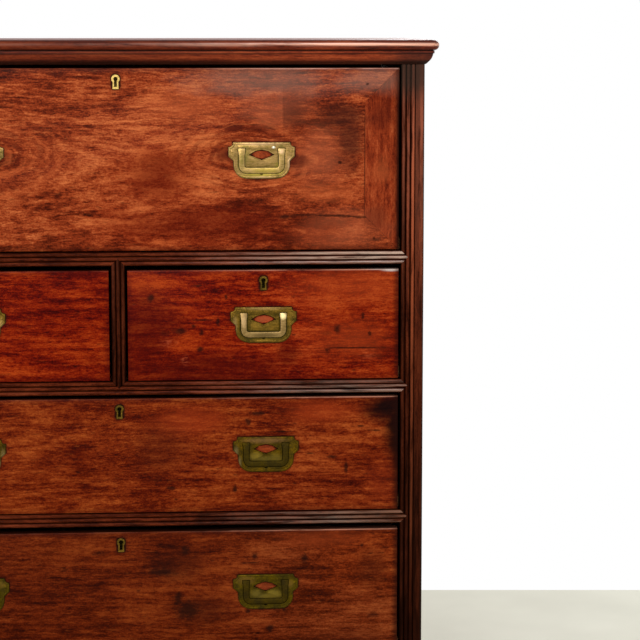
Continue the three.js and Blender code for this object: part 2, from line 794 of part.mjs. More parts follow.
// Fitted interior: pigeonholes over an inner drawer on each side of an open bay.
const cabinetBack = boxBack - boxSide - fit;
const cabinetFace = pivotY + stayRadius + stayWidth / 2 + cabinetSetBack;
const cabinetHalf = fallBox - boxSide - 2 * fit;
const cabinetLow = deskTop + fit;
const cabinetTop = fall.top - boxTopDrop - cabinetTopDrop;
const flankInner = centreBay / 2 + cabinetBoard;
const flankOuter = cabinetHalf - cabinetBoard;
const bayLow = cabinetLow + cabinetBoard;
const bayHigh = bayLow + innerDrawerHeight;

function archedHole(x0, x1, z0, z1) {
  const crown = steps(6).map((t) => [x1 + (x0 - x1) * t, z1 - archRise + archRise * Math.sin(Math.PI * t)]);
  return [[x0, z0], [x1, z0], ...crown];
}

function pigeonholes() {
  const holes = [archedHole(-centreBay / 2, centreBay / 2, bayLow, cabinetTop - cabinetBoard)];
  const pitch = (flankOuter - flankInner + cabinetBoard) / holesPerSide;
  [-1, 1].forEach((side) => {
    const bay = [[flankInner, bayLow], [flankOuter, bayLow], [flankOuter, bayHigh], [flankInner, bayHigh]];
    const row = steps(holesPerSide - 1).map((_, i) => {
      const x0 = flankInner + i * pitch;
      return archedHole(x0, x0 + pitch - cabinetBoard, bayHigh + cabinetBoard, cabinetTop - cabinetBoard);
    });
    holes.push(...[bay, ...row].map((hole) => hole.map(([x, z]) => [x * side, z])));
  });
  const body = block([-cabinetHalf, cabinetHalf], [cabinetFace, cabinetBack], [cabinetLow, cabinetTop]);
  const open = [cabinetFace - over, cabinetBack - cabinetRear];
  return cut(body, ...holes.map((hole) => facing(hole, open)));
}

// Inner drawer with a turned knob: fractions of the knob's radius and length.
function innerDrawer(side) {
  const gap = innerDrawerGap;
  const ends = [flankInner + gap, flankOuter - gap].map((x) => x * side);
  const [x0, x1] = ends.sort((a, b) => a - b);
  const low = bayLow + innerDrawerRun;
  const high = bayHigh - gap;
  const rear = cabinetBack - cabinetRear - gap;
  const shell = block([x0, x1], [cabinetFace, rear], [low, high]);
  const wall = innerDrawerWall;
  const inside = [[x0 + wall, x1 - wall], [cabinetFace + wall, rear - wall], [low + wall, high + over]];
  const well = block(...inside);
  const turned = [
    [0, -0.14], [0.5, -0.14], [0.45, 0.21], [0.8, 0.36], [1, 0.57], [0.95, 0.79], [0.6, 0.96], [0, 1],
  ];
  const profile = turned.map(([r, h]) => new THREE.Vector2(r * knobRadius, h * knobLength));
  const knob = new THREE.LatheGeometry(profile, knobSides).rotateX(Math.PI);
  knob.translate((x0 + x1) / 2, cabinetFace, (low + high) / 2);
  return join(cut(shell, well), solid(knob));
}

// The chest
const chest = new THREE.Group();
chest.name = "campaign_chest";

function piece(name, made, look, place = [0, 0, 0]) {
  const material = new THREE.MeshStandardMaterial(look);
  const mesh = new THREE.Mesh(geometryOf(made), material);
  mesh.name = name;
  mesh.position.set(...place);
  chest.add(mesh);
}

const sides = [["left", -1], ["right", 1]];

piece("top_board", topBoard(), caseWood);
piece("cornice_moulding", corniceMoulding(), caseWood);
sides.forEach(([name, side]) => {
  piece(`side_${name}`, sidePanel(side), caseWood);
  piece(`stile_${name}`, stile(side), reedWood);
});
piece("back_panel", backPanel(), boxWood);
piece("secretaire_rail", cut(rail(fall.floor), dividerArrow(through, fit)), reedWood);
piece("middle_rail", cut(rail(short.floor), dividerArrow(through, fit)), reedWood);
piece("lower_rail", rail(upper.floor), reedWood);
piece("base_rail", rail(lower.floor), reedWood);
piece("upper_dust_board", drawerBed(fall.floor, dustBoardThickness), boxWood);
piece("middle_dust_board", drawerBed(short.floor, dustBoardThickness), boxWood);
piece("lower_dust_board", drawerBed(upper.floor, dustBoardThickness), boxWood);
piece("bottom_board", bottomBoard(), boxWood);
piece("short_drawer_divider", divider(), reedWood);
const footNames = ["front_left", "back_left", "front_right", "back_right"];
footPlaces.forEach(([x, y], i) => piece(`foot_${footNames[i]}`, foot(), caseWood, [x, y, 0]));

// Short drawers
const shortInner = railHeight / 2 + endGap;
const shortMiddle = (shortInner + halfFront) / 2;
sides.forEach(([name, side]) => {
  const ordered = (a, b) => (side > 0 ? [a, b] : [-b, -a]);
  const x = side * shortMiddle;
  const z = (short.bottom + short.top) / 2;
  const front = drawerFront(ordered(shortInner, halfFront), short, [x], x);
  const box = drawerBox(ordered(shortInner + boxInset, halfFront - boxInset), short);
  piece(`short_${name}_front`, front, shortWood);
  piece(`short_${name}_box`, box, boxWood);
  piece(`short_${name}_handle_plate`, handlePlate(x, z), brass);
  piece(`short_${name}_bail`, handleBail(x, z), bailBrass);
  piece(`short_${name}_lock`, lock(x, short.top), brass);
});

// Long drawers
const longDrawers = [["upper", upper, upperHandleX, upperWood], ["lower", lower, lowerHandleX, lowerWood]];
longDrawers.forEach(([name, level, handleX, wood]) => {
  const z = (level.bottom + level.top) / 2;
  const half = halfFront - boxInset;
  const front = drawerFront([-halfFront, halfFront], level, [-handleX, handleX], 0);
  piece(`${name}_front`, front, wood);
  piece(`${name}_box`, drawerBox([-half, half], level), boxWood);
  piece(`${name}_lock`, lock(0, level.top), brass);
  sides.forEach(([end, side]) => {
    piece(`${name}_handle_plate_${end}`, handlePlate(side * handleX, z), brass);
    piece(`${name}_bail_${end}`, handleBail(side * handleX, z), bailBrass);
  });
});

// Secretaire drawer
piece("fall_board", fallBoard(), fallWood);
piece("fall_lock", lock(0, fall.top), brass);
piece("secretaire_box", secretaireBox(), boxWood);
piece("pigeonholes", pigeonholes(), innerWood);
sides.forEach(([name, side]) => {
  const x = side * fallHandleX;
  piece(`fall_clamp_${name}`, fallClamp(side), clampWood);
  piece(`fall_handle_plate_${name}`, handlePlate(x, fallZ), brass);
  piece(`fall_bail_${name}`, handleBail(x, fallZ), bailBrass);
  piece(`fall_stay_${name}`, stay(side), brass);
  piece(`fall_hinge_${name}`, fallHinge(side), brass);
  piece(`inner_drawer_${name}`, innerDrawer(side), innerWood);
});

export default chest;
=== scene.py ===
# %% [markdown]
# # A campaign chest, dressed
#
# This script takes the solid model of a secretaire chest as a fixed frame and gives it the looks
# of the real piece: old reddish hardwood, flush brass handles, screws and wear. Sizes are in
# metres. Only the small marks on fronts and handles are placed in millimetres.

# %% Load the solids
import math
import random

import bpy
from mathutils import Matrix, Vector


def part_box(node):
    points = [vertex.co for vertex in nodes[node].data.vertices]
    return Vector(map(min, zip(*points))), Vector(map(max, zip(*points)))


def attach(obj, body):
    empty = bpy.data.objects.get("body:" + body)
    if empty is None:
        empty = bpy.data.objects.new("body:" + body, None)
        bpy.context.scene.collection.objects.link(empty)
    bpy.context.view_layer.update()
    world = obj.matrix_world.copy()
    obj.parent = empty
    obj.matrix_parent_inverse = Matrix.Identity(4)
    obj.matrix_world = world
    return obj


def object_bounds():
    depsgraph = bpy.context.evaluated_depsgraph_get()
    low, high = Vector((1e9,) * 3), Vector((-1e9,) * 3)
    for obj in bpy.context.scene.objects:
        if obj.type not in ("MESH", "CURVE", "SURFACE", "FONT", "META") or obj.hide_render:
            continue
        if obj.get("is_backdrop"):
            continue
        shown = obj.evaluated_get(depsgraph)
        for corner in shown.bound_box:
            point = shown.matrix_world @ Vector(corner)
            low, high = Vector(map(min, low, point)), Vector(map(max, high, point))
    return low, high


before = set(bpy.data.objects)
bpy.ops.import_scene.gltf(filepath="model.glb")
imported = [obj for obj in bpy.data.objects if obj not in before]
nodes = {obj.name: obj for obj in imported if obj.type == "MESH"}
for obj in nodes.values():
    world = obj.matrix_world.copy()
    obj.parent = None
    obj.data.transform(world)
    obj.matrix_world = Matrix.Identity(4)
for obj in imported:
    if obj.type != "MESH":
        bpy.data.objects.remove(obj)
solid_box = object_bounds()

print(len(nodes), "solids, from", [round(v, 3) for v in solid_box[0]], "to",
      [round(v, 3) for v in solid_box[1]])

# %% [markdown]
# ## The camera
#
# The picture is a long-lens view of the right part of the chest, a little from above. A flat front
# with known sizes fixes such a camera: the slow closing of the stile's edge gives the tilt, and the
# slope of the rails gives the turn. Found by eye, it would be less exact.

# %% Place the camera
PICTURE = 640  # pixels, both ways
FOCAL_PIXELS = 2200
SENSOR = 36.0
TURN = math.radians(3.78)
TILT = math.radians(7.612)
FACE = -0.2183  # the plane of stiles, rails and drawer fronts
INNER_FACE = FACE + 0.022  # the backs of those boards

camera_data = bpy.data.cameras.new("camera")
camera_data.sensor_width = SENSOR
camera_data.lens = SENSOR * FOCAL_PIXELS / PICTURE
camera = bpy.data.objects.new("camera", camera_data)
bpy.context.scene.collection.objects.link(camera)
bpy.context.scene.camera = camera
camera.location = (0.0856, -3.4809, 1.07)
looking = Vector((
    math.sin(TURN) * math.cos(TILT),
    math.cos(TURN) * math.cos(TILT),
    -math.sin(TILT),
))
camera.rotation_mode = "QUATERNION"
camera.rotation_quaternion = looking.to_track_quat("-Z", "Y")


def pixel(x, y, z):
    """Where a point lands in the picture."""
    turned = camera.rotation_quaternion.inverted() @ (Vector((x, y, z)) - camera.location)
    across = PICTURE / 2 - FOCAL_PIXELS * turned.x / turned.z
    down = PICTURE / 2 + FOCAL_PIXELS * turned.y / turned.z
    return round(across, 1), round(down, 1)


print("a lens of", round(camera_data.lens, 1), "mm sees the foot of the face at", pixel(0, FACE, 0))

# %% [markdown]
# ## Light
#
# Old polish shows on edges: each reed and arris catches a line of light. A small bright lamp, high
# in front and to the right, makes those lines, and painted highlights on crests and arrises add to
# them. A broad lamp in front lights the flat faces, and one behind keeps the back readable.

# %% Lamps
def lamp(name, place, aim, width, height, power, tone=(1, 1, 1)):
    data = bpy.data.lights.new(name, "AREA")
    data.shape = "RECTANGLE"
    data.size = width
    data.size_y = height
    data.energy = power
    data.color = tone
    thing = bpy.data.objects.new(name, data)
    bpy.context.scene.collection.objects.link(thing)
    thing.location = place
    thing.rotation_mode = "QUATERNION"
    thing.rotation_quaternion = (Vector(aim) - Vector(place)).to_track_quat("-Z", "Y")


lamp("front lamp", (-1.2, -3.6, 2.1), (0.1, 0, 0.6), 2.2, 1.8, 56, (1, 0.985, 0.96))
lamp("strip lamp", (0.52, -2.1, 2.15), (0.3, -0.22, 0.8), 0.66, 0.14, 17)
lamp("back lamp", (1.4, 2.6, 2.2), (0, 0, 0.6), 1.6, 1.2, 40)
print(len(bpy.data.lights), "lamps")

# %% [markdown]
# ## Colours
#
# A maker mixes a stain by eye, while Blender adds up light. One function turns the first into the
# second, so that each shade below can be read, and changed, by eye.

# %% Colour as light
def tint(red, green, blue):
    """A colour as the eye sees it, 0 to 255, turned into light."""
    def light(value):
        share = value / 255
        return share / 12.92 if share <= 0.04045 else ((share + 0.055) / 1.055) ** 2.4
    return light(red), light(green), light(blue), 1.0


print("a mid brown is", [round(v, 3) for v in tint(120, 60, 30)])

# %% [markdown]
# ## Writing a finish as sums
#
# A finish is a net of small steps: scale this, add that, keep what is above a limit. Drawn by hand
# it is slow to read. Here a small class wraps a socket, so that `1 - mask` or `grain * 0.4` adds
# the step by itself. Sums turn a colour grey, so colours and directions have steps of their own.

# %% A quantity that varies over a surface
def joined(operation, reflected=False):
    """A method that joins a quantity with another, or with a plain number."""
    def method(self, other):
        return self.sum(operation, *((other, self) if reflected else (self, other)))
    return method


class Quantity:
    """A number, colour or direction that varies over a surface."""

    def __init__(self, recipe, socket):
        self.recipe = recipe
        self.socket = socket

    def sum(self, operation, *parts):
        return self.recipe.node("Math", {"operation": operation}, dict(enumerate(parts)))

    __add__ = joined("ADD")
    __radd__ = joined("ADD", reflected=True)
    __sub__ = joined("SUBTRACT")
    __rsub__ = joined("SUBTRACT", reflected=True)
    __mul__ = joined("MULTIPLY")
    __rmul__ = joined("MULTIPLY", reflected=True)
    __truediv__ = joined("DIVIDE")
    __pow__ = joined("POWER")
    __gt__ = joined("GREATER_THAN")
    least = joined("MINIMUM")
    most = joined("MAXIMUM")

    def __abs__(self):
        return self.sum("ABSOLUTE", self)

    def vector(self, operation, other, output=0):
        return self.recipe.node("VectorMath", {"operation": operation}, {0: self, 1: other}, output)

    def stretched(self, *factors):
        return self.vector("MULTIPLY", factors)

    def moved(self, *steps):
        return self.vector("ADD", steps)

    def length(self):
        return self.vector("LENGTH", None, 1)

    def part(self, index):
        return self.recipe.node("SeparateXYZ", {}, {0: self}, index)

    x = property(lambda self: self.part(0))
    y = property(lambda self: self.part(1))
    z = property(lambda self: self.part(2))

    def step(self, low, high, before, after):
        sockets = {0: self, 1: low, 2: high, 3: before, 4: after}
        return self.recipe.node("MapRange", {"interpolation_type": "SMOOTHSTEP"}, sockets)

    def rise(self, low, high):
        """0 below the low value, 1 above the high one, and a soft step between."""
        return self.step(low, high, 0.0, 1.0)

    def fall(self, low, high):
        """1 below the low value, 0 above the high one."""
        return self.step(low, high, 1.0, 0.0)

    def between(self, start, full, ebb, end):
        """1 in the middle of a stretch and 0 outside it."""
        return self.rise(start, full) * self.fall(ebb, end)

    def noise(self, detail, roughness, distortion=0.0, scale=1.0):
        sockets = {"Vector": self, "Scale": scale, "Detail": detail, "Roughness": roughness,
                   "Distortion": distortion}
        return self.recipe.node("TexNoise", {}, sockets)

    def cells(self, output):
        return self.recipe.node("TexVoronoi", {}, {"Vector": self, "Scale": 1.0}, output)

    def ramp(self, *stops):
        return self.recipe.node("ValToRGB", {"stops": stops}, {0: self})

    def bump(self, depth, strength):
        sockets = {"Strength": strength, "Distance": depth, "Height": self}
        return self.recipe.node("Bump", {}, sockets)

    def covered(self, share, over, kind="MIX"):
        """This colour under another one, where the share is 1."""
        settings = {"data_type": "RGBA", "blend_type": kind}
        return self.recipe.node("Mix", settings, {0: share, 6: self, 7: over}, 2)

    def painted(self, share, red, green, blue):
        """The same, with the other colour as the eye sees it."""
        return self.covered(share, tint(red, green, blue))

    def stained(self, share, *factors):
        """This colour times a factor for each of red, green and blue, where the share is 1."""
        return self.covered(share, (*factors, 1.0), "MULTIPLY")


print("a quantity knows", len(vars(Quantity)), "words")

# %% [markdown]
# ## A bench for each material
#
# Quantities need something that makes the nodes. Each material gets one recipe, which holds its
# net. Nodes could be added one by one in each finish, but one method for all of them keeps a
# finish down to a few lines.

# %% A recipe holds one net
class Recipe:
    """The bench on which the quantities of one material, or of the world, are mixed."""

    def __init__(self, owner):
        self.owner = owner
        owner.use_nodes = True
        self.tree = owner.node_tree
        self.tree.nodes.clear()

    def node(self, kind, settings, sockets, output=0):
        """Any node: its type, its settings first, then the values or links of its sockets."""
        made = self.tree.nodes.new("ShaderNode" + kind)
        for key, value in settings.items():
            if key == "stops":
                self.set_stops(made.color_ramp, value)
            else:
                setattr(made, key, value)
        for key, value in sockets.items():
            if isinstance(value, Quantity):
                self.tree.links.new(value.socket, made.inputs[key])
            elif value is not None:
                made.inputs[key].default_value = value
        return Quantity(self, made.outputs[output]) if made.outputs else None

    @staticmethod
    def set_stops(ramp, stops):
        while len(ramp.elements) < len(stops):
            ramp.elements.new(1.0)
        for element, (position, colour) in zip(ramp.elements, stops):
            element.position = position
            element.color = colour

    def place(self):
        """A point's place on the object."""
        return self.node("TexCoord", {}, {}, "Object")

    def vector(self, *parts):
        """A place or direction from its three parts."""
        return self.node("CombineXYZ", {}, dict(enumerate(parts)))

    def surface(self, **sockets):
        """The finished material. An underscore stands for the space in a socket's name."""
        named = {key.replace("_", " "): value for key, value in sockets.items()}
        self.node("OutputMaterial", {}, {"Surface": self.node("BsdfPrincipled", {}, named)})
        return self.owner


print("a recipe adds any node, and knows", len(vars(Recipe)), "words")

# %% [markdown]
# ## The room's own light
#
# A studio's walls send a little light from all sides, and behind the chest they look white. One
# white world would light the wood too strongly, so the world asks who looks: the eye, polish and
# glass get white, and the rest gets a dim fill. The same bench mixes it.

# %% World
FILL = 0.38
WHITE = (1, 1, 1, 1)
studio = Recipe(bpy.data.worlds.new("studio"))
bpy.context.scene.world = studio.owner
eye, polish, glass = [studio.node("LightPath", {}, {}, f"Is {kind} Ray")
                      for kind in ("Camera", "Glossy", "Transmission")]
dim = studio.node("Background", {}, {"Color": WHITE, "Strength": FILL})
bright = studio.node("Background", {}, {"Color": WHITE})
either = studio.node("MixShader", {}, {0: eye.most(polish).most(glass), 1: dim, 2: bright})
studio.node("OutputWorld", {}, {"Surface": either})
bpy.context.scene.view_settings.view_transform = "Standard"
print("a fill of", FILL)

# %% [markdown]
# ## The floor
#
# The chest stands on a pale floor that ends at a white wall a forearm's length behind it. A flat
# sheet is enough, and it keeps the chest's soft shadow.

# %% Floor
def skin(name, corners, faces, material):
    """A mesh object whose points are where they will stay."""
    mesh = bpy.data.meshes.new(name)
    mesh.from_pydata([tuple(c) for c in corners], [], faces)
    mesh.update()
    mesh.materials.append(material)
    thing = bpy.data.objects.new(name, mesh)
    bpy.context.scene.collection.objects.link(thing)
    return thing


floor_recipe = Recipe(bpy.data.materials.new("pale floor"))
speckle = floor_recipe.place().noise(3.0, 0.5, scale=5.0)
floor_paint = floor_recipe.surface(
    Base_Color=speckle.ramp((0.3, tint(246, 245, 229)), (0.7, tint(255, 254, 238))),
    Roughness=0.85,
    Specular_IOR_Level=0.1,
)
FLOOR_LINE = 590  # the picture's row at which the floor meets the wall
FLOOR_START = 0.3  # in front of the camera
FLOOR_SIDE = 4  # to the left and to the right of it
down = TILT + math.atan((FLOOR_LINE - PICTURE / 2) / FOCAL_PIXELS)
reach = camera.location.z / math.tan(down)
floor_corners = [
    (camera.location.x + ahead * math.sin(TURN) + aside * math.cos(TURN),
     camera.location.y + ahead * math.cos(TURN) - aside * math.sin(TURN), 0)
    for ahead, aside in ((FLOOR_START, -FLOOR_SIDE), (FLOOR_START, FLOOR_SIDE),
                         (reach, FLOOR_SIDE), (reach, -FLOOR_SIDE))
]
print("the floor ends", round(reach, 2), "m from the camera")
floor = skin("floor", floor_corners, [(0, 1, 2, 3)], floor_paint)
floor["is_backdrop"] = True

# %% [markdown]
# ## Where the brass sits
#
# Dirt gathers round the brass, so the finishes need to know where each handle and keyhole is. The
# solids know it already: the middle of a plate's or a lock's box is read, for the right half. The
# left half is its mirror image.

# %% Handles and keyholes
def middle_of(name):
    low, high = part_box(name)
    return (low + high) / 2


handle_at = {row: middle_of(f"{row}_handle_plate_right") for row in ("fall", "upper", "lower")}
handle_at["short"] = middle_of("short_right_handle_plate")
keyhole_at = {row: middle_of(f"{row}_lock") for row in ("fall", "upper", "lower")}
keyhole_at["short"] = middle_of("short_right_lock")


def near_handle(row, *places):
    """Ovals given from the middle of a handle, in millimetres."""
    here = handle_at[row] * 1000
    return [(here.x + x, here.z + z, reach_x, reach_z) for x, z, reach_x, reach_z in places]


print("handles in the picture:", {row: pixel(*at) for row, at in handle_at.items()})

# %% [markdown]
# ## Old hardwood
#
# The boards are a dense red hardwood. What the eye reads as wood is several layers: broad patches
# of colour, long bands that wander along the board, thin dark pores and short dashes. A picture
# would give them all at once, but it would stop at its border. Built from noise that is stretched
# along the grain, they run through the board, so the ends show end grain.

# %% Wood grain
WANDER = 0.012  # how far the grain strays to each side


def grain_scales(along, slow, quick):
    return [slow if axis == along else quick for axis in range(3)]


def grain(place, real, along, fineness, drawn):
    """Figure, bands, fibres, pores, dark dashes and light ones, each from 0 to 1.

    The broad layers follow a place that may be bent, the fine ones follow the board itself.
    """
    drift = place.stretched(*grain_scales(along, 1.7, 5.0)).noise(2.0, 0.5)
    bend = (drift - 0.5) * (WANDER * 2)
    shift = real.recipe.vector(*[0 if axis == along else bend for axis in range(3)])
    bent, plain = place.vector("ADD", shift), real.vector("ADD", shift)

    def layer(slow, quick, detail, distortion=0.0, base=plain):
        scales = grain_scales(along, slow * drawn, quick * fineness)
        return base.stretched(*scales).noise(detail, 0.62, distortion)

    patches = layer(5, 14, 4.0, 0.4, bent)
    mottle = layer(27, 60, 4.0, 0.4, bent)
    bands = layer(15, 150, 4.0, 0.3, bent)
    fibres = layer(130, 480, 3.0)
    specks = layer(400, 520, 2.0)
    figure = patches * 0.27 + mottle * 0.16 + bands * 0.26 + fibres * 0.18 + specks * 0.13
    pores = layer(90, 760, 2.0).rise(0.6, 0.7)
    dashes = layer(44, 330, 3.0, 0.8)
    return figure, bands, fibres, pores, dashes.rise(0.6, 0.72), dashes.fall(0.28, 0.4)


def worn(bands):
    """Where rubbing has worn through the polish, on the harder bands of the grain. It also breaks
    up the painted highlights.
    """
    return bands.rise(0.3, 0.6)


print("the grain strays", WANDER * 1000, "mm to each side")

# %% [markdown]
# ## Patches, stains and bruises
#
# Use leaves marks at places of their own, which no noise would find: an oval from a hand, a stain,
# a dent. They could be painted on a picture. Here each is a soft oval, given by its middle and its
# reach in millimetres, and noise makes its rim ragged.

# %% Marks
FADE = (0.2, 1.1)  # where a patch begins to fade and where it ends, as shares of its reach


def spot(place, ragged, x, z, reach_x, reach_z):
    """A soft oval on the front, 1 at its middle."""
    moved = place.moved(-x / 1000, 0, -z / 1000)
    oval = moved.stretched(1000 / reach_x, 0, 1000 / reach_z).length()
    return (oval + ragged).fall(*FADE)


def spots(place, ragged, places):
    """Several soft ovals as one mask."""
    masks = [spot(place, ragged, *each) for each in places]
    total = masks[0]
    for mask in masks[1:]:
        total = total.most(mask)
    return total


def patched(colour, place, ragged, *patches):
    """The colour under soft patches: each has a strength, a shade and its ovals."""
    for strength, shade, places in patches:
        colour = colour.painted(spots(place, ragged, places) * strength, *shade)
    return colour


def rim_noise(real, across, up, strength):
    """What is added to a patch's distance, so that its rim is ragged."""
    return (real.stretched(across, across, up).noise(5.0, 0.65) - 0.5) * strength


def bruises(place, along, share, size=0.05):
    """Short dark dents, strewn over a board: a few of the cells of a net hold one."""
    ragged = place.stretched(260, 260, 260).noise(2.0, 0.6)
    scales = [(0.6 if axis == along else 1.3) / size for axis in range(3)]
    scales[1] = 0
    strewn = place.stretched(*scales)
    strewn = strewn.vector("ADD", place.recipe.vector(ragged * 0.1, 0, ragged * 0.1))
    near = strewn.cells("Distance") + (ragged - 0.5) * 0.16
    chosen = place.recipe.node("SeparateColor", {}, {0: strewn.cells("Color")}, 0)
    return near.fall(0.02, 0.16) * (chosen > 1 - share)


print("a patch fades between", *FADE, "of its reach")

# %% [markdown]
# ## Dirt against the brass
#
# A cloth doesn't reach the corner between board and plate, so dirt stays there as a dark line. It
# could be a thin ring, but it has no thickness to show. So the distance to the plate's outline is
# worked out, and the board is darkened where it is small. In a plate's window the wood is rubbed
# bare by fingertips, and round the window's edge it gets painted shade.

# %% Dirt and rubbing
# a plate's body, brow and ears: how far above its middle, half width, half height, corner
PLATE = ((0, 0.0412, 0.0265, 0.024), (0.016, 0.0425, 0.0105, 0.001), (0.013, 0.049, 0.0065, 0.001))
WINDOW_HALF = 0.019  # the window in a plate
WINDOW_FALL = 0.0078
WINDOW_RISE = 0.0083  # how far its middle lies above the plate's


def on_the_face(real):
    """1 on a front's face, 0 a few millimetres behind it."""
    return real.y.fall(FACE + 0.005, FACE + 0.007)


def from_box(real, x, z, half_x, half_z, corner):
    """Distance to a box with round corners, on the front at x and at -x."""
    aside = (abs(abs(real.x) - x) - (half_x - corner)).most(0)
    above = (abs(real.z - z) - (half_z - corner)).most(0)
    return (aside * aside + above * above) ** 0.5 - corner


def grime(real, colour, handle, keyhole, ragged, rubbed):
    """Dirt against a plate's body, brow, ears and keyhole, rubbing and painted shade in the window.
    """
    x, z = handle.x, handle.z
    front = on_the_face(real)
    near = from_box(real, keyhole.x, keyhole.z, 0.0062, 0.0105, 0.004)
    for rise, half_x, half_z, corner in PLATE:
        near = near.least(from_box(real, x, z + rise, half_x, half_z, corner))
    near = near + (ragged - 0.5) * 0.0035
    outside = from_box(real, x, z + WINDOW_RISE, 0.021, 0.0095, 0.002) > 0
    wide = near.fall(0.0, 0.0075) * outside * front * 0.3
    line = near.fall(0.0004, 0.0024) * outside * front * 0.85
    colour = colour.painted(wide, 40, 10, 4)
    colour = colour.painted(line, 20, 6, 2)
    across = (abs(real.x) - x) / WINDOW_HALF
    above = (real.z - z - WINDOW_RISE) / WINDOW_FALL
    reach = (across * across + above * above) ** 0.5 + (ragged - 0.5) * 0.4
    inside = (1 - outside) * front
    colour = colour.painted(inside * reach.fall(0.4, 0.9) * rubbed, 176, 84, 48)
    # painted shade, nearly black, round the inside of the window, where the plate's walls shade the
    # wood
    return colour.painted(inside * reach.rise(0.6, 0.85) * 0.9, 24, 8, 3)


def near_edge(real, box):
    """Distance to the nearest edge of a front, whose box is given."""
    low, high = box
    x, z = real.x, real.z
    return (x - low.x).least(high.x - x).least(z - low.z).least(high.z - z)


def edged(real, colour, bands, box, deep):
    """A front's dirty edges, painted highlight on its worn top arris, painted shade at its ends and
    top face. Gives colour and gloss.
    """
    rim = near_edge(real, box) + (bands - 0.5) * 0.006
    colour = colour.covered(rim.fall(0.0, 0.012) * 0.4, deep)
    below, right = box[1].z - real.z, real.x
    # a painted highlight along the top arris, on worn bands and brighter towards the right, where
    # the light comes from; the same mask sets the coat of polish
    arris = below.fall(0.0006, 0.0026) * worn(bands) * (right.rise(0.08, 0.28) + 0.1)
    colour = colour.painted(arris * 0.62, 206, 136, 108)
    # painted shade at the ends beside the stiles, and a painted shadow of the rail above on the top
    # face
    ends = abs(right).rise(0.4085, 0.4185) * 0.55
    upper_face = below.fall(0.0002, 0.0008) * real.y.rise(FACE + 0.0003, FACE + 0.0012)
    colour = colour.painted(ends.most(upper_face * 0.85), 18, 5, 2)
    return colour, arris * 0.5


print("dirt follows", len(handle_at), "rows of handles")

# %% [markdown]
# ## One function for every wood
#
# The woods differ in colour and in how much figure they show, so one function takes those and makes
# the finish. Polish is a thin glossy coat over a fairly dull board. The pores and bruises sink a
# little, which breaks the shine up. Each wood could have its own net, but then a change to the
# pores would have to be made a dozen times.

# %% Wood finish
def wood(name, shades, along=0, fineness=1.0, drawn=1.0, contrast=1.0, bend=None, bruised=0.25,
         extra=None, marks=None, box=None, row=None, rubbed=0.66, polish=0.4, shine=0.04,
         gloss=None):
    """A wood in four shades from deep to light, whose grain runs along one axis.

    Fineness, drawn and contrast shape its figure, and bend leads it aside. Extra adds what only
    this board has. Marks are bruises at given places. Box and row say where dirt, painted shade and
    the painted arris highlight go.
    """
    recipe = Recipe(bpy.data.materials.new(name))
    real = recipe.place()
    place = bend(real) if bend else real
    figure, bands, fibres, pores, dashes, flecks = grain(place, real, along, fineness, drawn)
    figure = (figure - 0.5) * (4.6 * contrast) + 0.5
    deep, dark, middle, light = [tint(*shade) for shade in shades]
    colour = figure.ramp((0.0, deep), (0.3, dark), (0.56, middle), (1.0, light))
    colour = colour.covered(pores * 0.5, deep)
    colour = colour.covered(dashes * 0.55, deep)
    colour = colour.covered(flecks * 0.4, light)
    dents = bruises(real, along, bruised).most(bruises(real, along, bruised, 0.018))
    colour = colour.painted(dents * 0.6, 30, 8, 3)
    if extra:
        colour = extra(real, colour, bands, fibres)
    ragged = real.stretched(130, 130, 170).noise(4.0, 0.7)
    if marks:
        marked = spots(real, (ragged - 0.5) * 1.5, marks) * on_the_face(real)
        colour = colour.painted(marked * 0.8, 26, 7, 3)
    coat = gloss(real, bands) if gloss else 0.0
    if box:
        colour, coat = edged(real, colour, bands, box, deep)
    if row:
        colour = grime(real, colour, handle_at[row], keyhole_at[row], ragged, rubbed)
    rough = polish + (figure - 0.5) * 0.1 + pores * 0.2
    height = fibres * 0.3 - pores * 0.6 - dents * 2.0
    return recipe.surface(
        Base_Color=colour,
        Roughness=rough,
        Specular_IOR_Level=shine,
        Coat_Weight=coat,
        Coat_Roughness=0.28,
        Normal=height.bump(0.0002, 0.6),
    )


print("a wood takes", wood.__code__.co_argcount, "choices")

# %% [markdown]
# ## The case
#
# Top, moulding, sides and feet are one dark red wood. The moulding's hollows and foot get painted
# shade, and the top's round nose a painted highlight on its worn bands. These could be strips of
# their own, but the height over the floor is enough to say where each one lies.

# %% Case wood
# the moulding's foot, quirk and hollow get painted shade, and the nose a painted highlight
UNDER = (1.0165, 1.0235)  # the moulding's foot, in metres over the floor
QUIRK = 1.0297  # its fine groove
HOLLOW = (1.0325, 1.034, 1.0345, 1.037)  # where it meets the top board
NOSE = (1.038, 1.041, 1.0445, 1.047)  # the top's round nose
# the middle of the painted highlight along the nose
NOSE_MIDDLE = 1.0432


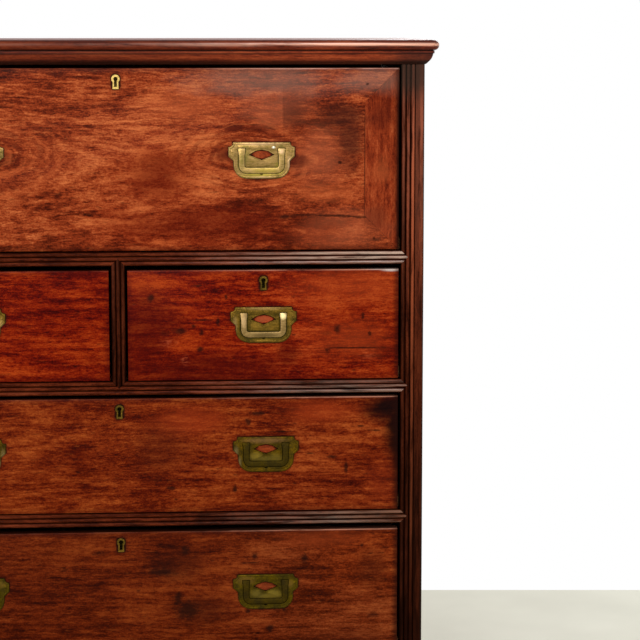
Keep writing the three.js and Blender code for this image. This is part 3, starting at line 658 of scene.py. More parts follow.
def moulding(real, colour, bands, fibres):
    """Painted shade in the hollows, under the moulding, on the left, at the right corner and on the
    top edge, and a painted highlight on the worn nose.
    """
    height, out = real.z, real.y
    front = out.fall(-0.215, -0.2)
    hollow = height.between(*HOLLOW) * front
    quirk = abs(height - QUIRK).fall(0.0003, 0.0016) * 0.7
    under = height.fall(*UNDER)
    # a painted highlight along the nose, on worn bands and brighter towards the right, where the
    # light comes from
    rubbed = worn(bands) * abs(height - NOSE_MIDDLE).fall(0.0004, 0.0036) * front
    right = real.x.rise(-0.02, 0.36)
    # painted shade on the left of the front, away from the light on the right
    colour = colour.painted(front * (1 - right) * 0.46, 46, 6, 0)
    colour = colour.stained(front * height.fall(1.03, 1.034), 1.1, 1.04, 0.9)
    # painted shade at the right end, where the moulding turns away from the light
    corner = real.x.rise(0.37, 0.45) * height.fall(1.03, 1.036)
    colour = colour.painted(corner * 0.6, 46, 28, 24)
    # painted shade, nearly black, under the moulding, in its quirk and in the hollow under the nose
    colour = colour.painted(under.most(hollow).most(quirk) * 0.88, 14, 4, 1)
    # painted shade on the top edge of the nose, seen at a grazing angle
    colour = colour.painted(height.rise(1.0455, 1.0495) * front * 0.6, 60, 20, 8)
    return colour.painted(rubbed * (right * 0.92 + 0.07), 240, 176, 146)


def nose_gloss(real, bands):
    return real.z.between(*NOSE) * worn(bands) * real.x.rise(-0.1, 0.3)


case_shades = [(38, 9, 3), (88, 28, 12), (126, 48, 22), (168, 78, 42)]
case_wood = wood("case wood", case_shades, 0, bruised=0.15, shine=0.1, polish=0.34,
                 extra=moulding, gloss=nose_gloss, drawn=0.5, contrast=0.9)
side_wood = wood("side wood", case_shades, 2, bruised=0.15, shine=0.2, drawn=0.35, contrast=0.85)
print(case_wood.name, "has", len(case_wood.node_tree.nodes), "nodes")

# %% [markdown]
# ## Reeded wood
#
# The reeds of a rail get a painted highlight on their worn crests, and painted shade in the
# valleys.
# Each valley could be a strip of its own, but how deep a point lies behind the crests already tells
# which is which, also where the reeds turn the corner of a mitre.

# %% Rails
REED = 0.0024  # the depth of a valley


def behind_crest(real):
    """0 on a reed's crest, 1 in the valley."""
    return (real.y - FACE) / REED


def reeded(real, colour, bands, fibres):
    """Rails: a painted highlight on worn crests towards the right and the top, and painted shade
    between them.
    """
    depth = behind_crest(real)
    right, high = real.x.rise(0.08, 0.43), real.z.rise(0.6, 0.7)
    dull = spots(real, 0, [(300, 719.6, 330, 6), (400, 719.6, 150, 6), (390, 539, 180, 6),
                           (400, 331, 76, 16)])
    crest = depth.fall(0.06, 0.34) * worn(bands) * (1 - dull * 0.62)
    # painted shade, almost black, in the valleys, and a little at the lower left, away from the
    # light
    colour = colour.painted(depth.rise(0.16, 0.62) * 0.95, 13, 3, 1)
    colour = colour.painted((1 - high) * (1 - right) * 0.05, 34, 8, 0)
    colour = colour.stained(spots(real, 0, [(380, 331, 110, 30)]), 0.72, 1.0, 1.0)
    # a painted highlight on worn crests, brighter towards the right and the top, where the light
    # comes from
    return colour.painted(crest * right * (high * 0.46 + 0.25), 220, 190, 168)


def rail_gloss(real, bands):
    crest = behind_crest(real).fall(0.1, 0.4) * worn(bands)
    return crest * real.x.rise(0.0, 0.4) * (real.z.rise(0.4, 0.7) * 0.85 + 0.15)


reed_shades = [(26, 6, 1), (60, 19, 6), (96, 37, 16), (132, 60, 32)]
level_reeds = wood("level reeds", reed_shades, 0, fineness=1.6, extra=reeded, bruised=0.12,
                   shine=0.03, polish=0.34, gloss=rail_gloss)
print("reeds are", REED * 1000, "mm deep")

# %% [markdown]
# ## The stiles
#
# The uprights have the same reeds, each with painted light of its own: the one next to the drawers
# is painted nearly black as shade, the third gets a painted highlight, and painted shade darkens
# the lower half. Every reed is found by its distance from the chest's middle.

# %% Stiles
THIRD_REED = (0.4365, 0.4385, 0.4425, 0.4445)
OUTER_VALLEY = (0.4435, 0.4445, 0.4475, 0.4525)


def upright(real, colour, bands, fibres):
    """Stiles: painted shade towards the floor and on the reed next to the drawers, and painted
    highlights.
    """
    depth = behind_crest(real)
    aside, height = abs(real.x), real.z
    outside = colour.painted(0.5, 110, 40, 18)
    handled = real.stretched(190, 0, 9).noise(3.0, 0.6)
    crest = depth.fall(0.04, 0.3) * bands.rise(0.25, 0.55)
    bright = height.rise(0.6, 0.92) * 0.29 + 0.03
    third = aside.between(*THIRD_REED) * height.rise(0.2, 0.34)
    # painted shade, almost black, in the valleys
    colour = colour.painted(depth.rise(0.16, 0.6) * 0.95, 14, 1, 0)
    # a painted highlight on worn crests, brighter higher up
    colour = colour.painted(crest * bright, 206, 120, 92)
    # painted shade that grows towards the floor as the light falls off, nearly black at the foot
    soot = height.fall(0.25, 0.95) * 0.84 * (handled.fall(0.3, 0.7) * 0.3 + 0.85)
    soot = soot.most(height.fall(0.165, 0.235) * 0.9)
    # painted shade on the reeds next to the drawers, at the gap
    inner = aside.fall(0.4275, 0.4335) * (height.fall(0.75, 0.95) * 0.42 + 0.34)
    inner = inner.most(aside.fall(0.434, 0.4375) * height.fall(0.55, 0.8) * 0.66)
    # painted shade in the outer valley
    valley = aside.between(*OUTER_VALLEY) * height.rise(0.45, 0.75)
    edge = aside.rise(0.4535, 0.457) * 0.8
    dark = soot.most(inner * (handled.fall(0.3, 0.7) * 0.5 + 0.6)).most(valley * 0.5)
    colour = colour.painted(dark, 14, 3, 0)
    # a painted highlight on the third reed
    lit = crest * third * height.fall(0.85, 1.0) * (height.rise(0.4, 0.75) * 0.16 + 0.12)
    colour = colour.painted(lit, 214, 112, 70)
    # painted shade under the moulding at the top, and on the outer edge
    colour = colour.painted((height.rise(0.945, 0.99) * 0.8).most(edge), 46, 38, 32)
    return colour.covered(aside.rise(0.4562, 0.4568) * depth.rise(0.5, 1.2), outside)


upright_reeds = wood("upright reeds", reed_shades, 2, fineness=1.6, extra=upright, bruised=0.12,
                     shine=0.02)
print(upright_reeds.name, "has", len(upright_reeds.node_tree.nodes), "nodes")

# %% [markdown]
# ## The fall front
#
# The fall is the showiest board. It was cut through a knot, and the grain runs round it in long
# ovals. A line that passes a knot is pushed away from it, so the height of a point over the knot is
# replaced by a stretched distance. Far from the knot that is the height again.

# %% Figure round the knot
KNOT_ASIDE = 0.2
KNOT_HEIGHT = 0.879


def round_the_knot(place):
    """The bent place that the fall's grain follows."""
    ripple = place.stretched(8, 8, 16).noise(4.0, 0.6) - 0.5
    across = place.x
    from_knot = abs(across) - KNOT_ASIDE
    height = place.z - KNOT_HEIGHT + ripple * 0.02
    bell = place.sum("EXPONENT", from_knot * from_knot * -75.0)
    spread = (1 - bell) * 0.0005 + 0.00002
    leaning = (height * height + spread) ** 0.5 + height * 0.3
    return place.recipe.vector(across, place.y, leaning)


def year_rings(real, colour):
    """Rings close round the knot, dark and light by turns."""
    across = abs(real.x) - (KNOT_ASIDE - 0.006)
    above = (real.z - (KNOT_HEIGHT - 0.001)) * 1.9
    ripple = (real.stretched(11, 0, 17).noise(3.0, 0.55) - 0.5) * 0.06
    oval = (across * across + above * above) ** 0.5 + ripple
    rings = real.recipe.vector(oval * 92, across * 7, above * 7).noise(2.0, 0.5)
    reach = oval.fall(0.07, 0.15)
    colour = colour.painted(rings.fall(0.34, 0.5) * reach * 0.45, 92, 26, 9)
    return colour.painted(rings.rise(0.52, 0.68) * reach * 0.4, 196, 96, 50)


print("the knots are", KNOT_ASIDE, "m to each side")

# %% [markdown]
# ## What marks the fall
#
# There are light and dark areas, a strip was let in beside the knot, and two joints show. A pale
# grey patch near the top is a painted reflection, and the right end gets painted shade. The clamps
# at the fall's ends are other boards, but they aged with it, so they share these, painted light
# too.

# %% The fall's patches
def fall_zones(real, colour, bands, fibres):
    """Rings, patches with a painted reflection, the let-in strip, the joints and painted shade at
    the end.
    """
    soft = rim_noise(real, 14, 26, 1.3)
    colour = year_rings(real, colour)
    knot = spots(real, soft, [(205, 880, 105, 52)])
    colour = colour.painted(knot * bands.fall(0.36, 0.56) * 0.3, 88, 24, 8)
    colour = colour.painted(knot * bands.rise(0.52, 0.7) * 0.25, 196, 98, 52)
    colour = patched(
        colour, real, soft,
        (0.4, (182, 86, 44), [(98, 953, 85, 34), (315, 825, 72, 20), (393, 855, 20, 26)]),
        (0.42, (178, 92, 58), [(240, 950, 70, 40), (300, 880, 50, 60), (330, 770, 90, 40)]),
        (0.55, (92, 22, 3), [(150, 778, 200, 40), (60, 850, 70, 50)]))
    low = spots(real, soft, [(120, 770, 240, 60), (60, 850, 90, 70)])
    colour = colour.stained(low, 0.82, 0.58, 0.46)
    colour = patched(
        colour, real, soft,
        # a painted reflection: a pale grey sheen near the top of the fall and its clamps
        (0.46, (142, 104, 88), [(385, 990, 92, 27), (215, 992, 150, 32)]),
        (0.74, (58, 22, 13), [(347, 905, 30, 62), (334, 936, 50, 28)]))
    strip = spots(real, soft, [(262, 944, 34, 40)]) * real.x.rise(0.2465, 0.2485)
    colour = colour.painted(strip * 0.52, 66, 26, 16)
    colour = patched(
        colour, real, soft,
        (0.65, (72, 18, 7), [(160, 880, 22, 14), (266, 872, 24, 15)]),
        (0.55, (84, 24, 9), [(394, 940, 24, 32), (386, 785, 24, 26)]))
    for strength, joint in ((0.3, (247, 945, 2.0, 44)), (0.6, (367.8, 865, 1.3, 112))):
        line = spot(real, soft * 0.3, *joint)
        colour = colour.painted(line * strength, 46, 14, 8)
    # painted shade at the right end, beside the stile
    end = real.x.rise(0.4145, 0.418) * real.z.fall(0.94, 0.99) * 0.85
    return colour.painted(end, 20, 5, 1)


clamp_shades = [(52, 11, 2), (100, 30, 10), (138, 51, 21), (176, 84, 44)]
fall_corners = (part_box("fall_clamp_left")[0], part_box("fall_clamp_right")[1])
clamp_wood = wood("clamp wood", clamp_shades, 2, bruised=0.1, extra=fall_zones, box=fall_corners,
                  contrast=0.9)
print(clamp_wood.name, "has", len(clamp_wood.node_tree.nodes), "nodes")

# %% [markdown]
# ## The writing surface
#
# When the fall is open its inner face is the writing surface: a green leather with a gilt line,
# let in flush. It could be a sheet of its own, but nothing of it stands up, so it is a finish.

# %% Fall board
def writing_surface(real, colour, bands, fibres):
    """The fall's inner face has a leather let into it, with a gilt line near its edge."""
    colour = fall_zones(real, colour, bands, fibres)
    edge = from_box(real, 0, 0.864, 0.335, 0.097, 0.004)
    inner = real.y > INNER_FACE - 0.0003
    leather = (1 - (edge > 0)) * inner
    grainy = real.stretched(420, 420, 420).cells("Distance")
    hide = grainy.ramp((0.1, tint(62, 70, 46)), (0.7, tint(36, 44, 28)))
    colour = colour.covered(leather, hide)
    line = abs(edge + 0.011).fall(0.0005, 0.0011) * inner
    return colour.painted(line * 0.85, 176, 140, 72)


fall_marks = [
    (250, 789, 14, 6), (276, 791, 30, 2.0), (312, 790.5, 36, 1.7), (350, 788.5, 24, 2.2),
    (382, 756, 3.2, 3.2), (331, 869, 4, 3), (372, 985, 3, 2), (388, 836, 3, 2),
    (361, 787.4, 15, 2.8), (330, 789.5, 40, 1.8),
]
fall_shades = [(50, 10, 1), (100, 31, 9), (146, 57, 24), (198, 104, 56)]
fall_wood = wood("fall wood", fall_shades, 0, bend=round_the_knot, extra=writing_surface,
                 marks=fall_marks, contrast=1.25, bruised=0.08, box=fall_corners, row="fall",
                 rubbed=0.2)
print(fall_wood.name, "has", len(fall_wood.node_tree.nodes), "nodes")

# %% [markdown]
# ## The short drawers
#
# Each front came from its own board. The short drawers are a clear deep red. Their bruises lie
# where use has put them, and the top arris at the corner next to the stile gets a painted white
# highlight.

# %% Short fronts
short_marks = [
    (48.8, 668, 8, 7), (118.9, 686, 9, 3), (148.3, 633, 4, 9), (126, 634.5, 26, 1.6),
    (91.5, 618, 14, 7), (124, 616.5, 5, 8), (112, 626, 5, 4), (326.7, 619, 6, 8),
    (365.8, 638.5, 3.5, 9), (311.7, 587.5, 6, 7), (345, 590.5, 75, 1.6), (160.6, 669.7, 3, 5),
    (376, 612, 4, 5), (121, 590, 7, 6),
]


def short_zones(real, colour, bands, fibres):
    """Redder at both ends, with a light and a dark area, scuffs and a painted highlight at the
    corner.
    """
    soft = rim_noise(real, 12, 22, 1.3)
    aside = abs(real.x)
    colour = colour.stained(aside.fall(0.14, 0.27), 0.86, 0.7, 0.42)
    colour = patched(
        colour, real, soft,
        (0.4, (172, 68, 30), [(350, 690, 120, 40), (350, 600, 80, 46)]),
        (0.62, (66, 3, 0), [(130, 562, 210, 34), (45, 630, 60, 90), (252, 580, 26, 36)]))
    scuffs = spots(real, soft, [(76, 600, 18, 9), (98, 575, 9, 12), (372, 580, 20, 12)])
    colour = colour.painted(scuffs * fibres.rise(0.45, 0.65) * 0.3, 200, 98, 62)
    colour = colour.stained(aside.rise(0.24, 0.33), 0.9, 0.86, 0.74)
    # a painted white highlight on the top arris at the corner next to the stile
    bare = spots(real, soft * 0.2, [(409, 709.2, 22, 4.4), (386, 710.2, 34, 2.6)])
    return colour.painted(bare * 0.97, 255, 248, 240)


short_shades = [(54, 0, 0), (97, 10, 0), (136, 34, 3), (180, 72, 26)]
short_box = {side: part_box(f"short_{side}_front") for side in ("left", "right")}
short_wood = {
    side: wood(f"short drawer wood, {side}", short_shades, 0, marks=short_marks,
               extra=short_zones, box=short_box[side], row="short", contrast=1.3)
    for side in short_box
}
print(len(short_marks), "bruises on each half")

# %% [markdown]
# ## The long drawers
#
# The two long fronts are browner, with large dark stains. One function makes both. It takes what
# differs: how the ends of each half are stained, and where the patches lie.

# %% Long fronts
def long_zones(left, right, *patches):
    """The patches of a long front, after a stain for each end of its half."""
    def zones(real, colour, bands, fibres):
        aside = abs(real.x)
        outer = aside.rise(0.26, 0.34) * real.z.rise(0.2, 0.24)
        colour = colour.stained(aside.fall(0.14, 0.27), *left)
        colour = colour.stained(outer, *right)
        return patched(colour, real, rim_noise(real, 16, 28, 1.0), *patches)
    return zones


upper_marks = [
    (207, 492, 15, 4), (193, 479, 6, 7), (242, 464, 24, 1.8), (364, 471, 8, 2),
    (385, 464, 12, 2.4), (340.6, 406.6, 4, 12), (76, 379.4, 9, 4), (172.4, 377, 4.5, 8),
    (319, 424, 9, 4), (285, 430, 8, 2.5),
]
upper_zones = long_zones(
    (0.96, 0.92, 0.78), (0.97, 0.91, 0.84),
    (0.97, (12, 0, 0), [(404, 498, 50, 36), (416, 474, 26, 84)]),
    (0.55, (26, 5, 0), [(420, 420, 15, 120)]),
    (0.4, (160, 56, 20), [(300, 495, 70, 26), (100, 480, 80, 30)]),
    (0.16, (160, 56, 24), [(396, 388, 40, 50)]),
    (0.4, (64, 18, 4), [(60, 440, 60, 60)]),
)
upper_shades = [(45, 3, 0), (86, 18, 0), (122, 42, 9), (168, 80, 32)]
upper_wood = wood("upper drawer wood", upper_shades, 0, marks=upper_marks, bruised=0.4,
                  extra=upper_zones, box=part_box("upper_front"), row="upper", contrast=1.15,
                  rubbed=0.2)

lower_marks = [
    (100, 190, 24, 20), (86, 208, 8, 16), (97.8, 283, 9, 10), (278, 268, 7, 9),
    (202, 272, 6, 7), (194, 262, 20, 1.8), (224.7, 159.6, 8, 8), (191, 187, 5, 6),
    (246, 189, 5, 6), (252.5, 311, 10, 3), (365, 287, 4, 4), (60, 250, 30, 10),
]
lower_zones = long_zones(
    (0.8, 0.66, 0.42), (1.14, 1.04, 0.78),
    (0.4, (142, 56, 22), [(300, 300, 90, 22)]),
    (0.35, (70, 24, 6), [(350, 140, 90, 26)]),
    (0.5, (52, 14, 3), [(80, 260, 60, 34), (380, 250, 40, 40), (120, 190, 60, 30)]),
)
lower_shades = [(38, 4, 0), (75, 20, 0), (112, 41, 11), (156, 76, 34)]
lower_wood = wood("lower drawer wood", lower_shades, 0, marks=lower_marks, bruised=0.4,
                  extra=lower_zones, box=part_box("lower_front"), row="lower", contrast=1.02,
                  rubbed=0.2)
print(len(upper_marks), "and", len(lower_marks), "bruises")

# %% [markdown]
# ## Inside
#
# Drawer linings were never polished: they are pale, dry and a little dirty. The desk behind the
# fall was made to be seen, so it is cleaner and has a soft shine.

# %% Linings and desk
lining_shades = [(88, 52, 28), (124, 80, 48), (150, 102, 64), (176, 128, 86)]
lining_wood = wood("lining wood", lining_shades, 0, bruised=0.06, polish=0.62, shine=0.2)
lining_deep = wood("lining wood, front to back", lining_shades, 1, bruised=0.06, polish=0.62,
                   shine=0.2)
back_wood = wood("back boards", lining_shades, 2, bruised=0.1, polish=0.7, shine=0.15,
                 drawn=0.35, contrast=0.85)
desk_shades = [(74, 34, 16), (112, 58, 30), (142, 82, 48), (168, 106, 68)]
desk_wood = wood("desk wood", desk_shades, 0, bruised=0.05, polish=0.42, shine=0.35)
print(len(bpy.data.materials), "materials so far")

# %% [markdown]
# ## Brass
#
# Brass that nobody polishes goes first dull, then brown, then green in the corners, and stays
# bright where fingers rub. The depth behind the plate's face tells the channel from the rim, and
# noise does the rest.

# %% Brass finish
PROUD = 0.0012  # how far a plate stands out of its front
SUNK = 0.00005  # how far a new piece is let into the solid below it


def beside_bail(place, at):
    """1 close to the two outlines of a bail, except along its open top."""
    outer = from_box(place, at.x, at.z - 0.00065, 0.0335, 0.01825, 0.011)
    inner = from_box(place, at.x, at.z + 0.00335, 0.0255, 0.01425, 0.006)
    close = abs(outer - 0.001).fall(0.0006, 0.003).most(abs(inner + 0.001).fall(0.0006, 0.003))
    return close * (place.z - at.z).fall(0.014, 0.019)


def brass(name, bright, dull, green, tarnish, shine=0.34, patches=(), beside=0.0, row="fall"):
    """Brass in three shades. Patches are given from the middle of that row's handle."""
    recipe = Recipe(bpy.data.materials.new(name))
    place = recipe.place()
    cloud = place.stretched(55, 55, 55).noise(4.0, 0.6)
    specks = place.stretched(420, 420, 420).noise(3.0, 0.6)
    rub = place.stretched(120, 120, 900).noise(3.0, 0.6)
    depth = place.y - (FACE - PROUD)
    sunk = depth.rise(0.0004, 0.0026)
    dirt = ((cloud - 0.5) * 1.4 + (specks - 0.5) * 0.8 + tarnish + sunk * 0.5).rise(0.15, 0.95)
    sockets = {0: rub.rise(0.35, 0.7), 6: tint(*bright), 7: tint(*dull)}
    metal = recipe.node("Mix", {"data_type": "RGBA"}, sockets, 2)
    colour = metal.painted(dirt, *green)
    if beside:
        colour = colour.painted(beside_bail(place, handle_at[row]) * beside, *green)
    mirrored = recipe.vector(abs(place.x), place.y, place.z)
    near = [(strength, shade, near_handle(row, *spread)) for strength, shade, spread in patches]
    colour = patched(colour, mirrored, (cloud - 0.5) * 0.9, *near)
    return recipe.surface(
        Base_Color=colour,
        Specular_IOR_Level=0.1,
        Metallic=1 - dirt * 0.55,
        Roughness=shine + dirt * 0.28 + (specks - 0.5) * 0.12,
        Normal=(specks * 0.6 + rub * 0.4 - dirt * 0.5).bump(0.00015, 0.5),
    )


print("a plate stands", PROUD * 1000, "mm out of its front")

# %% [markdown]
# ## Brass for each row
#
# The higher handles are brighter, and the lower ones are nearly brown. Each row has its own bright
# and green places, so each gets a brass of its own from the same function. A few bright places are
# painted highlights: a glint on a screw, and the top of a bail's outer arm.

# %% Handles of each row
fall_brass = brass(
    "fall handle brass", (170, 134, 82), (130, 106, 50), (70, 62, 20), 0.34, beside=0.4, patches=[
        (0.5, (150, 138, 46), [(-4, -22, 32, 6), (26, -12, 9, 13)]),
        (0.5, (98, 94, 40), [(-24, 4, 9, 14), (-31, -8, 8, 11)]),
        (0.45, (214, 176, 134), [(0, 24.5, 44, 3), (41, -6, 4, 14), (0, -25, 24, 2)]),
        (0.6, (84, 80, 30), [(29, 20, 7, 4), (-24, 19, 8, 5)]),
        # a painted glint on a screw head
        (0.9, (252, 247, 228), [(17.8, 19.2, 3.4, 2.4)]),
    ])
fall_bail_brass = brass(
    "fall bail brass", (186, 152, 96), (150, 124, 64), (84, 76, 28), 0.3, patches=[
        # a painted highlight at the top of the outer arm, and painted shade with green on the other
        # arm
        (0.6, (230, 190, 148), [(29.5, 13, 4.5, 4.5)]),
        (0.5, (112, 104, 44), [(-29.5, 0, 5, 15)]),
        (0.5, (180, 158, 62), [(6, -15, 24, 5)]),
    ])
short_brass = brass(
    "short handle brass", (132, 100, 36), (98, 74, 22), (50, 42, 4), 0.5, beside=0.75,
    row="short", patches=[(0.4, (164, 134, 84), [(0, 24.5, 44, 3), (-43, 0, 5, 16)])])
short_bail_brass = brass(
    "short bail brass", (160, 130, 82), (128, 102, 58), (72, 56, 24), 0.15, row="short", patches=[
        # a painted highlight at the top of the outer arm
        (0.95, (255, 232, 168), [(29.5, 13.5, 5.5, 6.5)]),
        (0.6, (206, 170, 120), [(-29.5, 5, 5, 16)]),
        (0.85, (104, 84, 50), [(2, -15.2, 26, 5.5)]),
    ])
upper_brass = brass(
    "upper handle brass", (111, 83, 8), (85, 62, 4), (48, 38, 1), 0.62, beside=0.3, row="upper",
    patches=[
        (0.4, (122, 106, 46), [(-15, -4, 13, 9), (14, -6, 14, 9), (0, -7, 24, 6)]),
        (0.5, (128, 92, 58), [(0, 21, 42, 6)]),
        (0.5, (132, 112, 70), [(-45, 4, 5, 12), (-40, -12, 4, 12)]),
    ])
lower_brass = brass(
    "lower handle brass", (100, 80, 8), (76, 61, 4), (48, 38, 1), 0.62, beside=0.3, row="lower",
    patches=[
        (0.5, (132, 112, 44), [(-14, -3, 13, 9), (13, -4, 15, 9), (0, -7, 26, 6)]),
        (0.5, (118, 88, 34), [(-30, 18, 18, 9), (36, 12, 8, 8)]),
    ])
dark_bail_brass = brass("long bail brass", (78, 62, 10), (62, 48, 6), (44, 34, 3), 0.6)
plain_brass = brass("inner brass", (214, 182, 104), (178, 146, 78), (96, 78, 38), 0.2)
print(len(bpy.data.materials), "materials in all")

# %% [markdown]
# ## Softened edges
#
# No edge on an old chest is sharp, but the solids' edges are. So the triangles are welded, the flat
# ones are merged back into boards, and what is left is rounded and shaded. It is done with
# modifiers, so the solid below stays as it was.

# %% Modifiers that soften
def smoothing(limit):
    """A small net that shades faces smooth and keeps edges above an angle sharp."""
    group = bpy.data.node_groups.new(f"smooth to {limit} degrees", "GeometryNodeTree")
    for way in ("INPUT", "OUTPUT"):
        group.interface.new_socket("Geometry", in_out=way, socket_type="NodeSocketGeometry")
    chain = [group.nodes.new(kind) for kind in (
        "NodeGroupInput", "GeometryNodeRemoveAttribute", "GeometryNodeSetShadeSmooth",
        "GeometryNodeSetShadeSmooth", "NodeGroupOutput")]
    for before, after in zip(chain, chain[1:]):
        group.links.new(before.outputs[0], after.inputs[0])
    clear, faces, edges = chain[1:4]
    clear.inputs["Name"].default_value = "custom_normal"
    faces.domain = "FACE"
    edges.domain = "EDGE"
    edges.inputs["Shade Smooth"].default_value = False
    angle = group.nodes.new("GeometryNodeInputMeshEdgeAngle")
    sharp = group.nodes.new("FunctionNodeCompare")
    sharp.data_type = "FLOAT"
    sharp.operation = "GREATER_THAN"
    sharp.inputs[1].default_value = math.radians(limit)
    group.links.new(angle.outputs["Unsigned Angle"], sharp.inputs[0])
    group.links.new(sharp.outputs[0], edges.inputs["Selection"])
    return group


smooth_curves = smoothing(38)
smooth_reeds = smoothing(70)


def soften(thing, width=0.0006, group=smooth_curves):
    """Weld and shade a solid, and round its edges where a width is given."""
    thing.modifiers.new("weld", "WELD").merge_threshold = 0.00001
    if width:
        flat = thing.modifiers.new("flat boards", "DECIMATE")
        flat.decimate_type = "DISSOLVE"
        flat.angle_limit = math.radians(0.5)
        edge = thing.modifiers.new("soft edges", "BEVEL")
        edge.limit_method = "ANGLE"
        edge.angle_limit = math.radians(40)
        edge.width = width
        edge.segments = 2
        edge.use_clamp_overlap = True
    thing.modifiers.new("shading", "NODES").node_group = group


print(smooth_curves.name, "and", smooth_reeds.name)

# %% [markdown]
# ## Which piece gets which finish
#
# Boards take the wood whose grain runs their long way. The rest follows the names.

# %% Finishes for the solids
looks = {
    "top_board": (case_wood, 0), "cornice_moulding": (case_wood, 0), "foot_": (case_wood, 0),
    "side_": (side_wood, 0.0008), "back_panel": (back_wood, 0.0005),
    "stile_": (upright_reeds, 0, smooth_reeds),
    "short_drawer_divider": (upright_reeds, 0, smooth_reeds),
    "fall_board": (fall_wood, 0), "fall_clamp_": (clamp_wood, 0), "fall_lock": (plain_brass, 0),
    "fall_handle_plate_": (fall_brass, 0.0004), "fall_bail_": (fall_bail_brass, 0.0009),
    "fall_stay_": (plain_brass, 0.0004), "fall_hinge_": (plain_brass, 0.0003),
    "secretaire_box": (desk_wood, 0.0006), "pigeonholes": (desk_wood, 0.0006),
    "inner_drawer_": (desk_wood, 0.0004),
}
for rail in ("secretaire", "middle", "lower", "base"):
    looks[f"{rail}_rail"] = (level_reeds, 0, smooth_reeds)
for board in ("upper_dust", "middle_dust", "lower_dust", "bottom"):
    looks[f"{board}_board"] = (lining_wood, 0)
for row, front_wood, metal, bail_metal in (
        ("short_left", short_wood["left"], short_brass, short_bail_brass),
        ("short_right", short_wood["right"], short_brass, short_bail_brass),
        ("upper", upper_wood, upper_brass, dark_bail_brass),
        ("lower", lower_wood, lower_brass, dark_bail_brass)):
    looks[f"{row}_front"] = (front_wood, 0)
    looks[f"{row}_box"] = (lining_deep, 0.0005)
    looks[f"{row}_lock"] = (short_brass, 0)
    looks[f"{row}_handle_plate"] = (metal, 0.0004)
    looks[f"{row}_bail"] = (bail_metal, 0.0009)

for name, thing in sorted(nodes.items()):
    match = max((key for key in looks if name.startswith(key)), key=len, default=None)
    if match is None:
        print("no finish for", name)
        continue
    material, *how = looks[match]
    thing.material_slots[0].material = material
    soften(thing, *how)
print(len(looks), "rules for", len(nodes), "solids")

# %% [markdown]
# ## Rims
#
# Each plate was cast with a fine raised rim. It follows the plate's outline: hollow corners at the
# top, square ears, and a round foot. It could be a curve with a bevel, but a half-round carried
# along the outline point by point keeps the mitres at the ears crisp.

# %% A plate's outline
PLATE_HALF_HEIGHT = 0.0265


def quarter(x, z, wide, high, start, steps):
    """Points on a quarter of an oval round x and z, from a start in degrees."""
    angles = [math.radians(start + 90 * i / steps) for i in range(steps + 1)]
    return [(x + wide * math.cos(a), z + high * math.sin(a)) for a in angles]


def plate_outline():
    """Right half from the top down, then its mirror image from the foot up, in metres."""
    ear, shoulder, waist, foot, cusp = 0.049, 0.042, 0.0415, 0.023, 0.001
    top = PLATE_HALF_HEIGHT
    cove = ear - shoulder
    ear_foot = top - cove - 0.0135
    bend = ear_foot - 2 * cove
    right = quarter(ear, top, cove, cove, 180, 5)
    right += [(ear, ear_foot), (waist + cusp, ear_foot - cove + cusp), (waist, ear_foot - cove)]
    right += quarter(foot, bend, waist - foot, -(bend + top), 0, 8)
    return right + [(-x, z) for x, z in reversed(right)]


def inward(points, distance):
    """The outline moved inwards by a distance, with mitred corners."""
    moved = []
    for i, here in enumerate(points):
        before, after = points[i - 1], points[(i + 1) % len(points)]
        first = Vector((here[0] - before[0], here[1] - before[1])).normalized()
        second = Vector((after[0] - here[0], after[1] - here[1])).normalized()
        side = Vector((first.y + second.y, -first.x - second.x)).normalized()
        stretch = 1 / max(0.45, side.dot(Vector((first.y, -first.x))))
        along = distance * stretch
        moved.append((here[0] + side.x * along, here[1] + side.y * along))
    return moved


def window_outline():
    """The window in a plate: a low arch over a shallow V."""
    rise, shoulder = 0.0076, 0.01
    right = [(0, rise), (shoulder, rise * 0.7), (WINDOW_HALF, 0)]
    around = right + [(0, -WINDOW_FALL), (-WINDOW_HALF, 0), (-shoulder, rise * 0.7)]
    return [(x, WINDOW_RISE + z) for x, z in around]


outline = plate_outline()
window = window_outline()
print("rim of", len(outline), "points,", round(max(p[0] for p in outline) * 1000, 1),
      "mm from the middle")

# %% [markdown]
# ## The half-round
#
# Eight handles get the same two rims, one round the plate and one round its window. Each rim rides
# on the body that carries its handle, so that it moves with it.

# %% Rims on the plates
handles = {}
for side, sign in (("left", -1), ("right", 1)):
    for row, body, material in (("fall", "fall", fall_brass),
                                ("short", f"short_{side}_drawer", short_brass),
                                ("upper", "upper_drawer", upper_brass),
                                ("lower", "lower_drawer", lower_brass)):
        at = handle_at[row]
        handles[f"{row}_{side}"] = (body, sign * at.x, at.z, material)


def piece(name, corners, faces, material, body):
    """A new piece of brass that rides on a body, shaded as the curved solids are."""
    thing = skin(name, corners, faces, material)
    thing.modifiers.new("shading", "NODES").node_group = smooth_curves
    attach(thing, body)


def rim(name, body, x, z, material, around, start, width, rise, steps):
    """A half-round carried along an outline, on the face of a plate."""
    corners, faces = [], []
    for i in range(steps + 1):
        turn = math.pi * i / steps
        line = inward(around, start + width / 2 * (1 - math.cos(turn)))
        y = FACE - PROUD - rise * math.sin(turn) + SUNK
        corners += [(x + px, y, z + pz) for px, pz in line]
    count = len(around)
    for i in range(steps):
        for j in range(count):
            k = (j + 1) % count
            faces.append((i * count + j, i * count + k, (i + 1) * count + k, (i + 1) * count + j))
    piece(name, corners, faces, material, body)


for name, (body, x, z, material) in handles.items():
    rim(f"{name}_plate_rim", body, x, z, material, outline, 0.0005, 0.0026, 0.0006, 6)
    rim(f"{name}_window_rim", body, x, z, material, window, -0.0018, 0.0018, 0.0005, 4)
print(2 * len(handles), "rims")

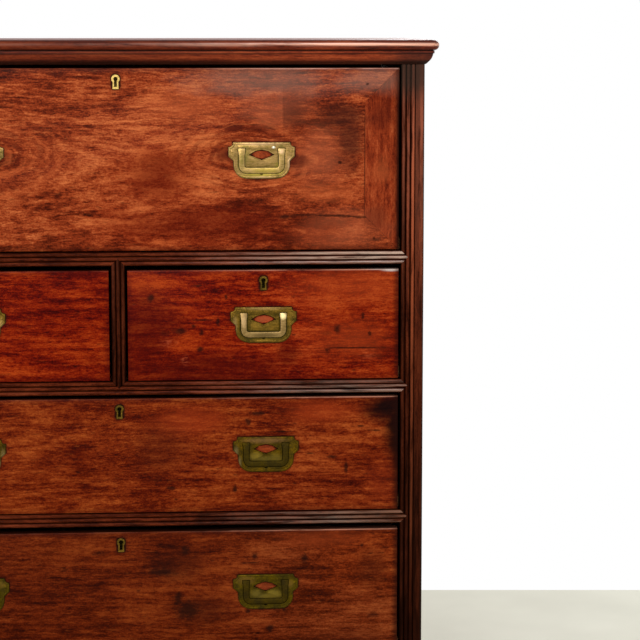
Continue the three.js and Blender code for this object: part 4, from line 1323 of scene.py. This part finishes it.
# %% [markdown]
# ## Screws
#
# Four slotted screws hold each plate, and more hold the fall's hinges and stays. Hand-cut slots
# never line up, so each has its own angle. A head is a low dome whose rows run along its slot. That
# puts edges exactly on the slot's two walls.

# %% Screw heads
turns = random.Random(7)
SLOT = 0.00035  # half the width of a slot


def screw_head(radius, rise, deep):
    """Corners (across, out, along) and faces of one head, with its slot along the third axis."""
    lines = [-1.0, -0.8, -0.5]
    across = [radius * v for v in lines] + [-SLOT, -SLOT, SLOT, SLOT]
    across += [radius * -v for v in reversed(lines)]
    cut = [False] * 4 + [True, True] + [False] * 4
    rows = 8
    corners, faces = [], []
    for u, low in zip(across, cut):
        chord = math.sqrt(max(radius * radius - u * u, 1e-12))
        for j in range(rows + 1):
            v = chord * math.sin(math.pi * (j / rows - 0.5))
            out = rise * max(0.0, 1 - (u * u + v * v) / radius ** 2) ** 0.5
            corners.append((u, out - (deep if low else 0), v))
    for i in range(len(across) - 1):
        for j in range(rows):
            a = i * (rows + 1) + j
            faces.append((a, a + rows + 1, a + rows + 2, a + 1))
    return corners, faces


def screws(name, body, places, facing, material, radius=0.0024):
    """Heads at several places, which face a level direction."""
    corners, faces = [], []
    out = Vector(facing)
    level = Vector((0, 0, 1)).cross(out)
    head, head_faces = screw_head(radius, 0.0005, 0.0006)
    for place in places:
        turn = turns.uniform(0, math.pi)
        one = level * math.cos(turn) + Vector((0, 0, math.sin(turn)))
        two = level * -math.sin(turn) + Vector((0, 0, math.cos(turn)))
        first = len(corners)
        for u, rise, v in head:
            corners.append(Vector(place) + one * u + two * v + out * (rise - SUNK))
        faces += [tuple(first + k for k in face) for face in head_faces]
    piece(name, corners, faces, material, body)


holes = ((-0.0438, 0.0128), (0.0438, 0.0128), (-0.0178, 0.0192), (0.0178, 0.0192))
for name, (body, x, z, material) in handles.items():
    at = [(x + aside, FACE - PROUD, z + above) for aside, above in holes]
    screws(f"{name}_plate_screws", body, at, (0, -1, 0), material, 0.0021)
for side, sign in (("left", -1), ("right", 1)):
    low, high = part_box(f"fall_hinge_{side}")
    level = (low.z + high.z) / 2
    leaf = [(sign * 0.4179, y, level) for y in (-0.188, -0.173, -0.159)]
    screws(f"hinge_screws_{side}", "secretaire_drawer", leaf, (sign, 0, 0), plain_brass)
    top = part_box(f"fall_stay_{side}")[1].z
    foot = [(sign * 0.3985, INNER_FACE, top - drop) for drop in (0.005, 0.039)]
    screws(f"stay_screws_{side}", "fall", foot, (0, 1, 0), plain_brass)
print("screws in", len(handles) + 4, "groups")

# %% [markdown]
# ## Sizes
#
# The dressed chest must fill the same box as its solids. Both boxes are written down, so that this
# can be checked without opening the scene.

# %% Print the sizes and finish
dressed_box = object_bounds()
print("dressed, it reaches from", [round(v, 3) for v in dressed_box[0]], "to",
      [round(v, 3) for v in dressed_box[1]])
